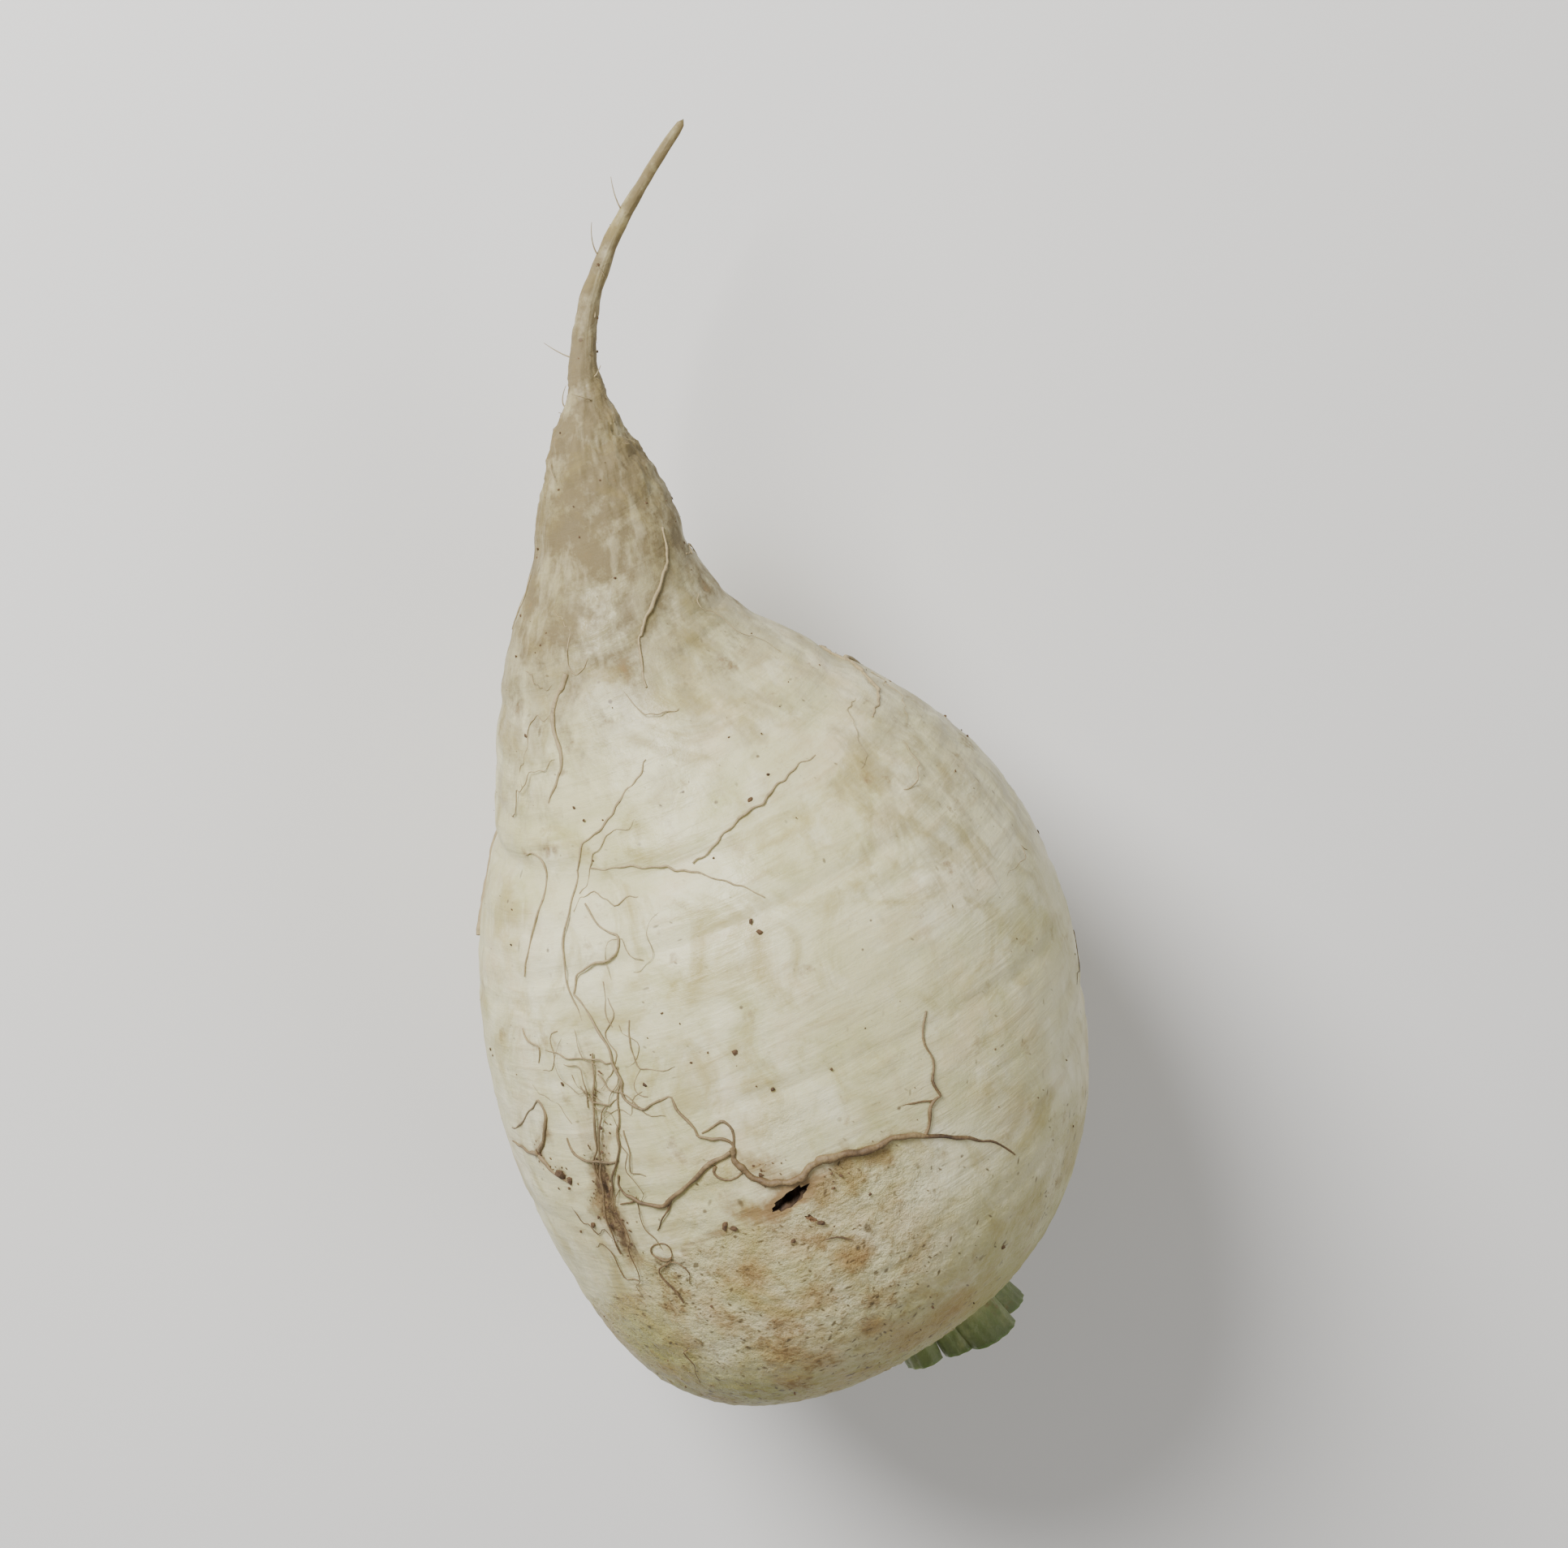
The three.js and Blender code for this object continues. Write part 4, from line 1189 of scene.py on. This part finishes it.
def make_cut_material():
    cut = Recipe("cut_stalk_flesh", 0.3)
    grain = cut.noise(520, 6, 0.7)
    colour = cut.ramp(grain, [
        (0.3, linear(144, 148, 96)),
        (0.6, linear(188, 186, 140)),
        (0.8, linear(166, 142, 96)),
    ])
    # Pale spots on the cut ends are painted glints of wetness
    painted_glints = cut.sum("MULTIPLY", cut.spots(1300, 0.3, 0.8), 0.8)
    colour = cut.mix(painted_glints, colour, linear(220, 216, 184))
    browned = cut.noise(300, 5, 0.65)
    colour = cut.mix(cut.scaled(browned, 0.56, 0.7, 0, 0.75), colour, linear(122, 92, 54))
    cut.give("Base Color", colour)
    cut.let_light_in(0.15, 0.0015, 0.002, 0.0008)
    cut.bump(grain, 0.0002)
    return cut.material


stalk_green = make_stalk_material()
cut_flesh = make_cut_material()
stalks = []
for i in range(STALKS):
    stalk = make_stalk(i)
    stalk.data.materials.append(stalk_green)
    stalk.data.materials.append(cut_flesh)
    knife_cut(stalk, 1)
    stalks.append(stalk)

# The disc is drawn up ring by ring, and ridged where older leaves have dropped off
profile = through(CROWN_DISC, np.linspace(0, 1, DISC_RINGS))
last_radius, last_height = profile[0]
disc = started(
    bpy.ops.mesh.primitive_circle_add, vertices=120, radius=last_radius, fill_type="NGON",
)
bpy.ops.object.mode_set(mode="EDIT")
bpy.ops.mesh.select_all(action="SELECT")
bpy.ops.transform.translate(value=(0, 0, last_height))
for radius, height in profile[1:-1]:
    bpy.ops.mesh.extrude_region_move(TRANSFORM_OT_translate={"value": (0, 0, height - last_height)})
    shrink = radius / last_radius
    bpy.ops.transform.resize(value=(shrink, shrink, 1), center_override=(0, 0, 0))
    last_radius, last_height = radius, height
bpy.ops.mesh.select_all(action="SELECT")
bpy.ops.mesh.normals_make_consistent(inside=False)
bpy.ops.object.mode_set(mode="OBJECT")
for vertex in disc.data.vertices:
    radius = math.hypot(vertex.co.x, vertex.co.y)
    turn = math.atan2(vertex.co.y, vertex.co.x)
    uneven = rough.noise(vertex.co * 0.35)
    grow = 1 + 0.022 * math.sin(8 * turn + 3 * uneven) + 0.03 * rough.noise(vertex.co * 0.9)
    vertex.co.x *= grow
    vertex.co.y *= grow
    if vertex.co.z > 0:
        ridge = math.sin(2 * math.pi * radius / DISC_RIDGE_GAP + 5 * uneven)
        vertex.co.z += DISC_RIDGE_HEIGHT * ridge + 0.12 * uneven
disc.data.materials.append(stalk_green)
leaf_stubs = joined([disc, *stalks], "leaf_stalk_stubs")
paint(leaf_stubs, "up_the_stalk", np.clip(coordinates(leaf_stubs)[:, 2] / STALK_CUT_HEIGHT, 0, 1))
leaf_stubs.data.transform(crown_place @ Matrix.Scale(MM, 4))
select_only(leaf_stubs)
bpy.ops.object.shade_smooth_by_angle(angle=math.radians(35))
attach(leaf_stubs, "root")
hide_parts("leaf_stalks")


# The pale floor that the radish lies on: a wide matt board, which belongs to the picture and not
# to the radish.
floor = started(bpy.ops.mesh.primitive_plane_add, size=4.0)
floor.name = "floor"
board = Recipe("pale_floor", 0.75)
pale = board.ramp(board.noise(6, 3), [(0.3, linear(226, 224, 221)), (0.7, linear(231, 229, 226))])
board.give("Base Color", pale)
floor.data.materials.append(board.material)


# The camera looks down on the radish and a little from the tail end, with the tail at the top
# left of the picture and the crown at the bottom right, as in the photograph.
PHOTO_WIDTH, PHOTO_HEIGHT = 1932, 1907
AXIS_FROM_VERTICAL = math.radians(24)  # of the radish in the picture
CAMERA_DISTANCE = 0.48
FRAME_SHARE = 0.82  # of the picture's height that the radish takes
towards_crown = Vector((math.sin(SEEN_ELEVATION), 0, math.cos(SEEN_ELEVATION)))
across_root = Vector((0, 1, 0))
back = towards_crown.cross(across_root)
right = towards_crown * math.sin(AXIS_FROM_VERTICAL) + across_root * math.cos(AXIS_FROM_VERTICAL)
up = across_root * math.sin(AXIS_FROM_VERTICAL) - towards_crown * math.cos(AXIS_FROM_VERTICAL)
outline = np.vstack([coordinates(root), coordinates(leaf_stubs)])
rightwards, upwards, nearer = (outline @ np.array(axis) for axis in (right, up, back))
middle = right * float(rightwards.min() + rightwards.max()) / 2
middle = middle + up * float(upwards.min() + upwards.max()) / 2
middle = middle + back * float(nearer.mean())
frame_height = float(upwards.max() - upwards.min()) / FRAME_SHARE
frame_width = frame_height * PHOTO_WIDTH / PHOTO_HEIGHT
camera_data = bpy.data.cameras.new("camera")
camera = bpy.data.objects.new("camera", camera_data)
bpy.context.collection.objects.link(camera)
camera_data.sensor_fit = "HORIZONTAL"
camera_data.lens = camera_data.sensor_width * CAMERA_DISTANCE / frame_width
camera_data.clip_start = 0.01
turned = Matrix((right, up, back)).transposed().to_4x4()
camera.matrix_world = Matrix.Translation(middle + back * CAMERA_DISTANCE) @ turned
bpy.context.scene.camera = camera


# Soft studio light: a broad key from the upper left of the picture, a weaker fill from the lower
# right and an even pale sky.
def add_softbox(name, direction, distance, size, power):
    light_data = bpy.data.lights.new(name, "AREA")
    light_data.shape = "DISK"
    light_data.size = size
    light_data.energy = power
    light = bpy.data.objects.new(name, light_data)
    bpy.context.collection.objects.link(light)
    direction = direction.normalized()
    facing = direction.to_track_quat("Z", "Y").to_matrix().to_4x4()
    light.matrix_world = Matrix.Translation(direction * distance) @ facing


key_side = back * 1.2 - right * 0.65 + up * 0.65
fill_side = back + right * 1.1 - up * 0.5
add_softbox("key", key_side, distance=0.8, size=0.35, power=12.0)
add_softbox("fill", fill_side, distance=0.9, size=0.6, power=2.2)
world = bpy.data.worlds.new("sky")
world.use_nodes = True
sky = world.node_tree.nodes["Background"].inputs
sky["Color"].default_value = linear(243, 242, 240)
sky["Strength"].default_value = 0.33
bpy.context.scene.world = world
